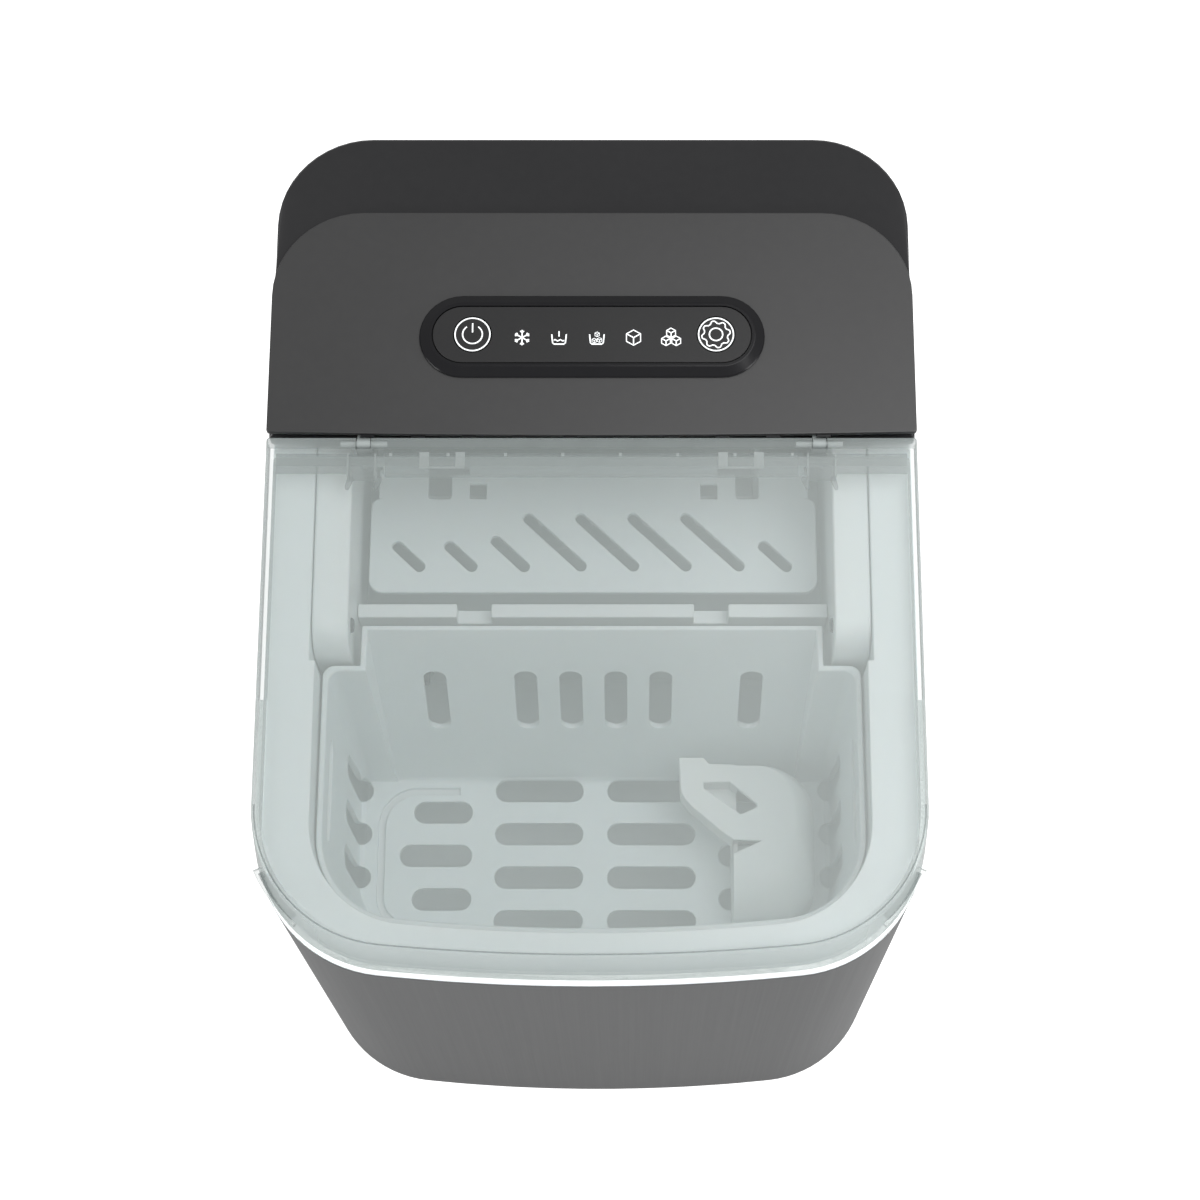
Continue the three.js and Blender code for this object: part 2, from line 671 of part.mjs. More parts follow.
// ---- Top housing, cover and console, in the leaning top frame ----
const housingPlan = {
  width: lidWidth, front: seamY, rear: caseDepth / 2 - 0.45, frontCorner: 1, rearCorner: 33, bow: 5000,
};
const crestPlan = { ...housingPlan, rear: crestY, rearCorner: 31 };
const housingTop = -coverThickness - clearance;
const hingeY = seamY - clearance - hingeRadius;

function makeHousing() {
  const bottom = -rimBelowTop + 2 * clearance + 2;
  const wall = 2.4;
  const levels = (inset, low, high) => [
    atHeight(planOutline(housingPlan, inset), low),
    atHeight(planOutline(housingPlan, inset), -deckDrop - inset / 3),
    atHeight(planOutline(crestPlan, inset), high),
  ];
  const shell = cut(
    loft(levels(0, bottom, housingTop)),
    loft(levels(wall, bottom - 1, housingTop - wall)),
  );
  const parts = [shell];
  for (const x of [-tongueX, tongueX]) {
    const left = x - tongueWidth / 2;
    parts.push(rod('x', hingeRadius - 0.2, left, hingeY, -hingeRadius, tongueWidth, 14));
    parts.push(block(left, left + tongueWidth, hingeY, seamY + 1, -hingeRadius * 1.8, housingTop));
  }
  const pinHoles = [-tongueX, tongueX].map((x) => (
    rod('x', hingePinRadius + 0.25, x - 10, hingeY, -hingeRadius, 20, 10)
  ));
  const consoleHole = prism(slotOutline(0, consoleY, consoleWidth - 8, consoleDepth - 8, true, 6), -20, 5);
  addPiece('top_housing', cut(join(...parts), ...pinHoles, consoleHole), black, topFrame);
}

function makeCover() {
  const chamfer = 0.5;
  const plate = loft([
    atHeight(planOutline(crestPlan), -coverThickness),
    atHeight(planOutline(crestPlan), -chamfer),
    atHeight(planOutline(crestPlan, chamfer), 0),
  ]);
  const hole = prism(slotOutline(0, consoleY, consoleWidth - 8, consoleDepth - 8, true, 6), -20, 5);
  addPiece('control_cover', cut(plate, hole), satin, topFrame);
}

const panelThick = 1.6;

function makeConsole() {
  const pill = (inset) => (
    slotOutline(0, consoleY, consoleWidth - 2 * inset, consoleDepth - 2 * inset, true, 8)
  );
  const bezel = loft([
    atHeight(pill(0), clearance),
    atHeight(pill(0.4), clearance + 0.6),
    atHeight(pill(consoleChamfer), consoleRise),
  ]);
  const neck = prism(pill(4.5), -coverThickness - 1, clearance + 0.2);
  const seat = prism(pill(consoleChamfer + 1), consoleRise - panelThick - clearance, consoleRise + 1);
  const well = prism(pill(consoleChamfer + 3.5), -10, consoleRise + 1);
  addPiece('console_bezel', cut(join(bezel, neck), seat, well), black, topFrame);
  const panelBottom = consoleRise - panelThick;
  const keyHoles = [-keyX, keyX].map((x) => (
    rod('z', keyRadius + clearance, x + iconOffset, consoleY, -10, 20, 24)
  ));
  const panel = prism(pill(consoleChamfer + 1 + clearance), panelBottom, consoleRise - 0.1);
  addPiece('control_panel', cut(panel, ...keyHoles), black, topFrame);
  for (const [name, x] of [['power_button', -keyX], ['select_button', keyX]]) {
    const key = join(
      rod('z', keyRadius, 0, 0, -1.6, 1.6, 24),
      rod('z', 2.2, 0, 0, -3.6, 2.4, 12),
    );
    addPiece(name, key, black, topFrame).position.set(x + iconOffset, consoleY, consoleRise - 0.1);
  }
}

function makeDisplayBoard() {
  const boardTop = -3.4;
  const board = slotOutline(0, consoleY, consoleWidth - 20, consoleDepth - 14, true, 4);
  const parts = [prism(board, boardTop - 1.6, boardTop)];
  for (const x of [-keyX, keyX]) {
    const padX = x + iconOffset;
    parts.push(block(padX - 3, padX + 3, consoleY - 3, consoleY + 3, boardTop - 0.5, boardTop + 1));
  }
  parts.push(block(-12, 12, consoleY - 6, consoleY + 2, boardTop - 5, boardTop - 1));
  addPiece('display_board', join(...parts), circuit, topFrame);
}

// ---- Lid ----
function lidPlan(inset, lean) {
  return {
    width: lidWidth - 2 * inset,
    front: lidFront + inset - lean,
    rear: seamY - clearance - 0.2,
    frontCorner: lidCorner - inset,
    rearCorner: 0.6,
    bow: 728 - inset,
  };
}

function makeLid() {
  const rearTop = { ...lidPlan(lidBand, 0), rear: hingeY };
  const outer = loft([
    atHeight(planOutline(lidPlan(0, lidFlare)), -skirtDrop),
    atHeight(planOutline(lidPlan(0, 0)), -1.2),
    atHeight(planOutline(rearTop), 0),
  ]);
  const innerPlan = (inset, lean) => ({ ...lidPlan(inset, lean), rear: hingeY - 2 * hingeRadius });
  const inner = loft([
    atHeight(planOutline(innerPlan(lidThickness, lidFlare + 0.6)), -skirtDrop - 1),
    atHeight(planOutline(innerPlan(lidThickness, 0)), -1.2 - lidThickness),
    atHeight(planOutline(innerPlan(lidBand + lidThickness, 0)), -lidThickness),
  ]);
  const parts = [cut(outer, inner)];
  parts.push(rod('x', hingeRadius, -lidWidth / 2 + 0.6, hingeY, -hingeRadius, lidWidth - 1.2, 16));
  for (const side of [-1, 1]) {
    // Finger tab at each front corner, just above the skirt's lower edge.
    const tab = [];
    const cornerX = lidWidth / 2 - lidCorner;
    const tabY = lidFront + 50.3;
    const from = side > 0 ? -50 : -156;
    addArc(tab, side * cornerX, tabY, 51, from, from + 26, 6);
    addArc(tab, side * cornerX, tabY, 46.5, from + 26, from, 6);
    parts.push(prism(tab, -9.4, -7));
  }
  const cuts = [];
  for (const x of [-tongueX, tongueX]) {
    const left = x - tongueWidth / 2 - clearance;
    const right = left + tongueWidth + 2 * clearance;
    cuts.push(block(left, right, hingeY - hingeRadius - 0.2, seamY + 1, -skirtDrop - 2, 1));
    const start = x - hingePinLength / 2 - 0.5;
    cuts.push(rod('x', hingePinRadius + 0.25, start, hingeY, -hingeRadius, hingePinLength + 1, 10));
  }
  addPiece('lid', cut(join(...parts), ...cuts), clear, topFrame);
  for (const [name, x] of [['lid_pin_left', -tongueX], ['lid_pin_right', tongueX]]) {
    addPiece(name, rod('x', hingePinRadius, -hingePinLength / 2, 0, 0, hingePinLength, 10), zinc, topFrame)
      .position.set(x, hingeY, -hingeRadius);
  }
}

// ---- Refrigeration ----
const floorTop = baseBottom + 2.4 + clearance;
const compressorX = -44;
const compressorY = 90;
const mountHeight = 9;
const mountRing = 50;
const mountAngles = [60, 180, 300];

function makeCompressor() {
  const bottom = floorTop + mountHeight + clearance;
  const r = compressorRadius;
  const h = compressorHeight;
  const profile = [
    [0, 0], [r - 14, 0], [r - 3, 6], [r, 14], [r, h * 0.45], [r + 1.2, h * 0.46],
    [r + 1.2, h * 0.5], [r, h * 0.51], [r, h - 30], [r - 6, h - 14], [r - 20, h - 4], [0, h],
  ];
  const lathe = new THREE.LatheGeometry(profile.map(([x, y]) => new THREE.Vector2(x, y)), 24);
  const pot = solid(lathe.rotateX(Math.PI / 2)).translate([compressorX, compressorY, bottom]);
  const parts = [pot];
  const spots = mountAngles.map((degrees) => {
    const angle = THREE.MathUtils.degToRad(degrees);
    return [compressorX + mountRing * Math.cos(angle), compressorY + mountRing * Math.sin(angle)];
  });
  const hull = [];
  spots.forEach(([x, y], i) => addArc(hull, x, y, 8, mountAngles[i] - 60, mountAngles[i] + 60, 4));
  parts.push(prism(hull, bottom, bottom + 2.5));
  const boxX = compressorX + 40;
  parts.push(block(boxX, boxX + 16, compressorY - 12, compressorY + 12, bottom + 70, bottom + 98));
  addPiece('compressor', join(...parts), paintBlack);
  const mount = join(
    rod('z', 7.5, 0, 0, 0, 3, 12),
    rod('z', 5.5, 0, 0, 2.5, mountHeight - 2.5, 12),
  );
  spots.forEach(([x, y], i) => {
    addPiece(`compressor_mount_${i + 1}`, mount, rubber).position.set(x, y, floorTop);
  });
}

const condenserLeft = 66;
const condenserRight = 90;
const condenserFront = 42;
const condenserRear = 134;
const condenserBottom = floorTop + 8;
const condenserTop = 152;

function makeCondenser() {
  const parts = [];
  const finCount = 9;
  const finPitch = (condenserTop - condenserBottom - 1.4) / (finCount - 1);
  for (let i = 0; i < finCount; i += 1) {
    const z = condenserBottom + i * finPitch;
    parts.push(block(condenserLeft, condenserRight, condenserFront, condenserRear, z, z + 1.4));
  }
  const columns = 3;
  const middleX = (condenserLeft + condenserRight) / 2;
  for (let i = 0; i < columns; i += 1) {
    const y = condenserFront + 10 + (i * (condenserRear - condenserFront - 20)) / (columns - 1);
    parts.push(rod('z', 3.5, middleX, y, condenserBottom - 3, condenserTop - condenserBottom + 6, 6));
  }
  addPiece('condenser', join(...parts), aluminium);
}

function makeFan() {
  const hubStart = 44;
  const hub = rod('x', 12, hubStart, fanY, fanZ, 12, 20);
  const blades = [];
  for (let i = 0; i < 7; i += 1) {
    const blade = new THREE.BoxGeometry(1.6, 21, fanRadius - 11).rotateZ(THREE.MathUtils.degToRad(32));
    blade.translate(0, 0, (fanRadius + 11) / 2 - 1);
    blade.rotateX((i * 2 * Math.PI) / 7);
    blades.push(solid(blade.translate(hubStart + 6, fanY, fanZ)));
  }
  const bore = rod('x', 2.5 + clearance, hubStart - 1, fanY, fanZ, 10, 12);
  addPiece('fan_blades', cut(join(hub, ...blades), bore), black);
  const motor = join(
    rod('x', 15, 18, fanY, fanZ, 21, 24),
    rod('x', 2.5, 38, fanY, fanZ, 14, 12),
  );
  addPiece('fan_motor', motor, zinc);
  const plateX = 60;
  const ringRadius = fanRadius + 3;
  const plate = block(plateX, plateX + 3, condenserFront, condenserRear, floorTop + 0.2, 142);
  const shroud = cut(
    join(plate, rod('x', ringRadius + 2, 42, fanY, fanZ, plateX - 40, 32)),
    rod('x', ringRadius, 30, fanY, fanZ, 60, 32),
  );
  const arms = [];
  for (const degrees of [30, 150, 270]) {
    const arm = new THREE.BoxGeometry(3, 6, ringRadius - 15).translate(0, 0, (ringRadius + 17) / 2);
    arm.rotateX(THREE.MathUtils.degToRad(degrees));
    arms.push(solid(arm.translate(37, fanY, fanZ)));
    const post = new THREE.BoxGeometry(8, 6, 3).translate(3, 0, ringRadius + 0.2);
    post.rotateX(THREE.MathUtils.degToRad(degrees));
    arms.push(solid(post.translate(38, fanY, fanZ)));
  }
  const seat = cut(
    rod('x', 18.5, 35.5, fanY, fanZ, 3, 24),
    rod('x', 15 + clearance, 30, fanY, fanZ, 20, 24),
  );
  addPiece('fan_shroud', join(shroud, seat, ...arms), paintBlack);
}

function makePipes() {
  const compressorTop = floorTop + mountHeight + clearance + compressorHeight;
  const suction = tube([
    [suctionX, trayAxisY, trayAxisZ + 17.8], [suctionX, trayAxisY + 0.4, overheadZ - 2.6],
    [suctionX, trayAxisY + 5, overheadZ - 0.4], [suctionX, trayAxisY + 20, overheadZ - 0.4],
    [suctionX, chamberRear + 2, overheadZ - 0.4], [suctionX, chamberRear + 8, overheadZ - 3],
    [suctionX, chamberRear + 12, overheadZ - 12], [suctionX, chamberRear + 12, 190],
    [suctionX, chamberRear + 12, 168], [suctionX, chamberRear + 8, 158.5],
    [suctionX, chamberRear - 2, 155.5],
    [suctionX, compressorY + 12, 152.5], [suctionX, compressorY + 9, compressorTop - 0.4],
  ], pipeRadius, 34, 6);
  addPiece('suction_line', suction, copper);
  const discharge = tube([
    [-28, compressorY + 22, compressorTop - 2.8], [-27, compressorY + 23, 153], [-22, 120, 157.5],
    [0, 128, 158.5], [40, 128, 158.5], [66, 125, 159.5], [76, 121, 161], [78, 117, 159],
    [78, 116, condenserTop + 3.6],
  ], pipeRadius, 24, 6);
  addPiece('discharge_line', discharge, copper);
  const drier = new THREE.LatheGeometry(
    [[0, 0], [2, 0], [2.4, 10], [8.5, 18], [8.5, 60], [2.4, 68], [2, 78], [0, 78]]
      .map(([r, z]) => new THREE.Vector2(r, z)), 14,
  );
  addPiece('filter_drier', solid(drier.rotateX(Math.PI / 2)), copper).position.set(0, 136, 22);
  const valve = join(
    block(4, 24, 124, 142, 120, 140),
    rod('z', 6, 14, 133, 104, 18, 12),
    rod('z', 2.5, 14, 133, 96, 10, 10),
  );
  addPiece('hot_gas_valve', valve, zinc);
}

// ---- Water ----
function makeWaterParts() {
  const pumpY = 26;
  const riseY = chamberRear + 12;
  const pump = join(
    rod('z', 13, hoseX, pumpY, floorTop, 32, 20),
    rod('z', 9.5, hoseX, pumpY, floorTop + 30, 18, 16),
    rod('z', 2.4, hoseX, pumpY, floorTop + 46, 12, 10),
    block(hoseX - 17, hoseX + 17, pumpY - 5, pumpY + 5, floorTop, floorTop + 3),
  );
  addPiece('water_pump', pump, paintBlack);
  const hose = tube([
    [hoseX, pumpY, floorTop + 58.6], [hoseX, pumpY, 100], [hoseX, pumpY, 130], [hoseX, pumpY + 3, 148],
    [hoseX, pumpY + 13, 156.5], [hoseX, 60, 158], [hoseX, riseY - 24, 158], [hoseX, riseY - 6, 162.5],
    [hoseX, riseY - 0.5, 177], [hoseX, riseY, 200], [hoseX, riseY - 1, 226], [hoseX, riseY - 5.5, 234],
    [hoseX, riseY - 16, overheadZ - 0.5], [hoseX, 95, overheadZ - 0.5], [hoseX, 84, overheadZ - 1],
    [hoseX, 79, overheadZ - 4], [hoseX, 78, overheadZ - 9],
  ], hoseRadius, 40, 6);
  addPiece('pump_hose', hose, hoseClear);
  const intake = tube([
    [hoseX, chamberFront - 4, 76], [hoseX, chamberFront + 3, 75.5], [hoseX, chamberFront + 7, 70],
    [hoseX, chamberFront + 7.4, 58], [hoseX, chamberFront + 7.4, floorTop + 32.4],
  ], 2.8, 10);
  addPiece('intake_elbow', intake, rubber);
  const rear = caseDepth / 2;
  const drainHose = tube([
    [drainX, chamberFront - 4, 72], [drainX, chamberFront + 6, 72], [drainX, chamberFront + 14, 66],
    [drainX - 3, 24, 46], [drainX - 26, 26, 15.5], [drainX - 34, 40, 12.8], [drainX - 38, 80, 12.6],
    [drainX - 36, 112, 13], [drainX - 20, rear - 23.6, 16], [drainX - 6, rear - 18.6, 24],
    [drainX, rear - 13.6, drainZ], [drainX, rear - 10.2, drainZ],
  ], hoseRadius, 32, 6);
  addPiece('drain_hose', drainHose, hoseClear);
  const collar = cut(
    join(
      rod('y', drainRadius + 2, drainX, rear - 9.8, drainZ, 9, 20),
      rod('y', 4.5, drainX, rear - 9.9, drainZ, 2, 12),
    ),
    rod('y', drainRadius - 1.7, drainX, rear - 7.6, drainZ, 12, 16),
    rod('y', drainRadius, drainX, rear - 3.6, drainZ, 12, 16),
  );
  addPiece('drain_spout', collar, black);
  const plug = join(
    rod('y', drainRadius - 0.5, drainX, rear - 3, drainZ, 2.4, 20),
    rod('y', drainRadius - 2.3, drainX, rear - 7, drainZ, 4.5, 16),
  );
  addPiece('drain_plug', plug, rubber);
}

// ---- Electrics ----
function makeElectrics() {
  const boardY = chamberRear + 14;
  const parts = [block(4, 66, boardY, boardY + 1.6, 172, 232)];
  parts.push(block(10, 34, boardY + 1, boardY + 16, 178, 200));
  parts.push(block(40, 58, boardY + 1, boardY + 13, 178, 190));
  parts.push(rod('y', 6, 18, boardY + 1, 216, 12, 12));
  parts.push(rod('y', 6, 34, boardY + 1, 216, 12, 12));
  parts.push(block(44, 62, boardY + 1, boardY + 9, 204, 226));
  addPiece('main_board', join(...parts), circuit);
  const rear = caseDepth / 2;
  const gland = join(
    rod('y', glandRadius, glandX, rear - panelThickness - 4, glandZ, panelThickness + 3.8, 16),
    rod('y', glandRadius + 2.5, glandX, rear - panelThickness - 5, glandZ, 4.5, 16),
  );
  addPiece('cord_gland', cut(gland, rod('y', 3.4, glandX, rear - 20, glandZ, 30, 12)), rubber);
}

makeFeet();
makeBasePan();
makeShell();
makeRearPanel();
makeScrews();
makeLiner();
makeInsulation();
makePillars();
makeHousing();
makeCover();
makeConsole();
makeDisplayBoard();
makeLid();
makeBasket();
makeScoop();
makeTray();
makeTrayMotor();
makePusher();
makeEvaporator();
makeCompressor();
makeCondenser();
makeFan();
makePipes();
makeWaterParts();
makeElectrics();

export default group;
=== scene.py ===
import json
import math

import bmesh
import bpy
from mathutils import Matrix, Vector


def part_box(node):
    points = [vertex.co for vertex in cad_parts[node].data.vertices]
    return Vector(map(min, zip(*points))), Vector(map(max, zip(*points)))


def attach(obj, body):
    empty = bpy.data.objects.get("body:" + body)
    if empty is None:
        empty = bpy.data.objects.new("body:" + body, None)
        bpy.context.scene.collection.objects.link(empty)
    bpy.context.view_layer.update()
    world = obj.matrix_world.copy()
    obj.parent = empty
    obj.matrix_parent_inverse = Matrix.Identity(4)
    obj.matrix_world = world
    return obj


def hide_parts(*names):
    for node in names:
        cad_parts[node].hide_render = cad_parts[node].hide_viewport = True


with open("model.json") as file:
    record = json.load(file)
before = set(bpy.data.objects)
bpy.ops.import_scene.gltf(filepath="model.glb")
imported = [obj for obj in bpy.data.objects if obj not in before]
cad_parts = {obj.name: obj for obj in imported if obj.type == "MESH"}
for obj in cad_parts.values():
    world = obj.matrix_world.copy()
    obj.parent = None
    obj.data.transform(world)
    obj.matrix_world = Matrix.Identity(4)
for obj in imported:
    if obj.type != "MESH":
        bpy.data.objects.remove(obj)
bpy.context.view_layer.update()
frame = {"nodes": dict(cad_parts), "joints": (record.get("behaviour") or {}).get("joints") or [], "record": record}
scene = bpy.context.scene
cad = frame["nodes"]
behaviour = frame["record"]["behaviour"]
bodyOf = {node: body for body, nodes in behaviour["bodies"].items() for node in nodes}
mm = 0.001
print("frame loaded:", len(cad), "pieces")


# Measuring the frame, in millimetres.
def corners(node):
    low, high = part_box(node)
    return Vector(low) / mm, Vector(high) / mm


hinge = next(joint for joint in frame["joints"] if joint["name"] == "lid_hinge")
hingePoint = Vector(hinge["pos_m"]) / mm
top = {"lean": math.radians(3), "hingeY": 32.6, "hingeDrop": 2.2, "tongueX": 77.7}
leanSin, leanCos = math.sin(top["lean"]), math.cos(top["lean"])
topHeight = hingePoint.z - top["hingeY"] * leanSin + top["hingeDrop"] * leanCos
shellLow, shellHigh = corners("body_shell")
caseHalf = shellHigh.x
caseFront, caseRear = shellLow.y, -shellLow.y


# A point drawn flat over the lid plane, leant with it.
def leaning(x, y, z):
    return (x, y * leanCos - z * leanSin, topHeight + y * leanSin + z * leanCos)


# Height of the plane that lies this far under the lid plane.
def underTop(y, below):
    return topHeight + y * math.tan(top["lean"]) - below / leanCos


def arc(x, y, radius, start, end, steps):
    turns = [math.radians(start + (end - start) * i / steps) for i in range(steps + 1)]
    return [(x + radius * math.cos(a), y + radius * math.sin(a)) for a in turns]


# Bowed front, round corners, anticlockwise.
def planOutline(plan, inset=0.0):
    half = plan["half"] - inset
    front = plan["front"] + inset
    rear = plan["rear"] - inset
    corner = max(plan["corner"] - inset, 1)
    rearCorner = max(plan["rearCorner"] - inset, 0.4)
    bow = plan["bow"] - inset
    tilt = math.degrees(math.asin((half - corner) / (bow - corner)))
    cornerY = front + bow - (bow - corner) * math.cos(math.radians(tilt))
    points = arc(0, front + bow, bow, -90 - tilt, -90 + tilt, 22)
    points += arc(half - corner, cornerY, corner, -90 + tilt, 0, 18)[1:]
    points += arc(half - rearCorner, rear - rearCorner, rearCorner, 0, 90, 12)
    points += arc(rearCorner - half, rear - rearCorner, rearCorner, 90, 180, 12)
    points += arc(corner - half, cornerY, corner, 180, 270 - tilt, 18)[:-1]
    return points


def pill(x, y, length, width, turn=0.0, steps=8):
    reach = (length - width) / 2
    points = arc(reach, 0, width / 2, -90, 90, steps) + arc(-reach, 0, width / 2, 90, 270, steps)
    c, s = math.cos(math.radians(turn)), math.sin(math.radians(turn))
    return [(x + px * c - py * s, y + px * s + py * c) for px, py in points]


def atHeight(points, z):
    return [(x, y, z) for x, y in points]


# The same outline lifted to a plane that lies this far under the lid plane.
def toPlane(points, below):
    return [(x, y, underTop(y, below)) for x, y in points]


def meshPiece(name, verts, faces):
    mesh = bpy.data.meshes.new(name)
    mesh.from_pydata([(x * mm, y * mm, z * mm) for x, y, z in verts], [], faces)
    work = bmesh.new()
    work.from_mesh(mesh)
    bmesh.ops.remove_doubles(work, verts=work.verts, dist=1e-6)
    bmesh.ops.recalc_face_normals(work, faces=work.faces)
    work.to_mesh(mesh)
    work.free()
    piece = bpy.data.objects.new(name, mesh)
    scene.collection.objects.link(piece)
    return piece


def loft(name, rings):
    count = len(rings[0])
    verts = [point for ring in rings for point in ring]
    faces = []
    for level in range(len(rings) - 1):
        for i in range(count):
            a, b = level * count + i, level * count + (i + 1) % count
            faces.append((a, b, b + count, a + count))
    faces.append(tuple(reversed(range(count))))
    faces.append(tuple(range((len(rings) - 1) * count, len(rings) * count)))
    return meshPiece(name, verts, faces)


def prism(name, points, low, high):
    return loft(name, [atHeight(points, low), atHeight(points, high)])


# An outline drawn as (y, z), run across X.
def acrossX(name, points, start, end):
    return loft(name, [[(start, y, z) for y, z in points], [(end, y, z) for y, z in points]])


# An outline drawn as (x, z), run along Y.
def alongY(name, points, start, end):
    return loft(name, [[(x, start, z) for x, z in points], [(x, end, z) for x, z in points]])


def block(name, x0, x1, y0, y1, z0, z1):
    return prism(name, [(x0, y0), (x1, y0), (x1, y1), (x0, y1)], z0, z1)


def rod(name, axis, radius, x, y, z, length, sides=32):
    ring = arc(0, 0, radius, 0, 360, sides)[:-1]
    if axis == "x":
        return acrossX(name, [(y + a, z + b) for a, b in ring], x, x + length)
    if axis == "y":
        return alongY(name, [(x + a, z + b) for a, b in ring], y, y + length)
    return prism(name, [(x + a, y + b) for a, b in ring], z, z + length)


# Turns a flat drawing over the lid plane into its leaning place.
def leanPiece(piece):
    for vertex in piece.data.vertices:
        vertex.co = Vector(leaning(*(vertex.co / mm))) * mm
    return piece


# Works out the modifiers and keeps the plain mesh.
def plain(piece):
    graph = bpy.context.evaluated_depsgraph_get()
    graph.update()
    made = bpy.data.meshes.new_from_object(piece.evaluated_get(graph), depsgraph=graph)
    piece.modifiers.clear()
    piece.data = made
    return piece


def shaped(piece, joins=(), cuts=()):
    for others, operation in ((joins, "UNION"), (cuts, "DIFFERENCE")):
        for other in others:
            step = piece.modifiers.new("shape", "BOOLEAN")
            step.operation = operation
            step.solver = "EXACT"
            step.object = other
    plain(piece)
    for other in [*joins, *cuts]:
        bpy.data.objects.remove(other)
    return piece


def tidyFaces(piece, angle=0.6):
    work = bmesh.new()
    work.from_mesh(piece.data)
    bmesh.ops.remove_doubles(work, verts=work.verts, dist=2e-6)
    bmesh.ops.dissolve_limit(work, angle_limit=math.radians(angle), verts=work.verts,
                             edges=work.edges)
    work.to_mesh(piece.data)
    work.free()
    return piece


def softened(piece, width, segments=2, angle=40):
    edge = piece.modifiers.new("edge", "BEVEL")
    edge.width = width * mm
    edge.segments = segments
    edge.limit_method = "ANGLE"
    edge.angle_limit = math.radians(angle)
    edge.use_clamp_overlap = False
    return plain(piece)


def smoothed(piece, angle=35):
    piece.data.shade_smooth()
    piece.data.set_sharp_from_angle(angle=math.radians(angle))
    weighing = piece.modifiers.new("normals", "WEIGHTED_NORMAL")
    weighing.keep_sharp = True
    weighing.weight = 100
    return plain(piece)


# Gives a finished piece its material and body.
def settle(piece, material, slot, body, *nodes, angle=35):
    piece.data.materials.clear()
    piece.data.materials.append(finishes[material])
    smoothed(piece, angle)
    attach(piece, body)
    if nodes:
        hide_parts(*nodes)
    return piece


def newGroup(name, inputs, outputs):
    group = bpy.data.node_groups.new(name, "ShaderNodeTree")
    for label, kind, value in inputs:
        socket = group.interface.new_socket(label, in_out="INPUT", socket_type=kind)
        socket.default_value = value
    for label, kind in outputs:
        group.interface.new_socket(label, in_out="OUTPUT", socket_type=kind)
    entry = group.nodes.new("NodeGroupInput")
    leave = group.nodes.new("NodeGroupOutput")
    return group, entry.outputs, leave.inputs


def addNode(tree, kind, settings=None, **values):
    node = tree.nodes.new(kind)
    for key, value in (settings or {}).items():
        setattr(node, key, value)
    for key, value in values.items():
        label = key.replace("_", " ")
        if hasattr(value, "is_output"):
            tree.links.new(value, node.inputs[label])
        else:
            node.inputs[label].default_value = value
    return node


def mathNode(tree, operation, a, b=0.0):
    node = tree.nodes.new("ShaderNodeMath")
    node.operation = operation
    for socket, value in zip(node.inputs, (a, b)):
        if hasattr(value, "is_output"):
            tree.links.new(value, socket)
        else:
            socket.default_value = value
    return node.outputs[0]


def mixColor(tree, share, a, b):
    node = tree.nodes.new("ShaderNodeMix")
    node.data_type = "RGBA"
    for socket, value in ((node.inputs[0], share), (node.inputs[6], a), (node.inputs[7], b)):
        if hasattr(value, "is_output"):
            tree.links.new(value, socket)
        else:
            socket.default_value = value
    return node.outputs[2]


def stretch(tree, vector, scale):
    node = addNode(tree, "ShaderNodeMapping", Vector=vector)
    node.inputs["Scale"].default_value = scale
    return node.outputs[0]


def noise(tree, vector, scale, detail=3.0):
    return addNode(tree, "ShaderNodeTexNoise", Vector=vector, Scale=scale,
                   Detail=detail).outputs[0]


# Moulded plastic or enamel: slow cloudiness, fine grain and a little settled dust.
def makeMouldedSkin():
    group, given, out = newGroup("mouldedSkin", [
        ("Color", "NodeSocketColor", (0.5, 0.5, 0.5, 1)),
        ("Shade Color", "NodeSocketColor", (0.4, 0.4, 0.4, 1)),
        ("Cloud Scale", "NodeSocketFloat", 18.0),
        ("Grain Scale", "NodeSocketFloat", 1800.0),
        ("Roughness", "NodeSocketFloat", 0.4),
        ("Roughness Spread", "NodeSocketFloat", 0.12),
        ("Dust", "NodeSocketFloat", 0.02),
    ], [("Color", "NodeSocketColor"), ("Roughness", "NodeSocketFloat"),
        ("Height", "NodeSocketFloat")])
    place = group.nodes.new("ShaderNodeTexCoord").outputs["Object"]
    cloud = noise(group, place, given["Cloud Scale"])
    grain = noise(group, place, given["Grain Scale"], 2.0)
    base = mixColor(group, cloud, given["Color"], given["Shade Color"])
    facing = group.nodes.new("ShaderNodeSeparateXYZ")
    group.links.new(group.nodes.new("ShaderNodeNewGeometry").outputs["Normal"], facing.inputs[0])
    upward = mathNode(group, "MAXIMUM", facing.outputs[2], 0.0)
    specks = mathNode(group, "MULTIPLY", noise(group, place, 260.0, 6.0), given["Dust"])
    dusty = mathNode(group, "MULTIPLY", upward, specks)
    colored = mixColor(group, dusty, base, (0.8, 0.79, 0.76, 1))
    group.links.new(colored, out["Color"])
    spread = mathNode(group, "MULTIPLY", mathNode(group, "SUBTRACT", cloud, 0.5),
                      given["Roughness Spread"])
    rough = mathNode(group, "ADD", given["Roughness"], spread)
    group.links.new(mathNode(group, "ADD", rough, dusty), out["Roughness"])
    group.links.new(grain, out["Height"])
    return group


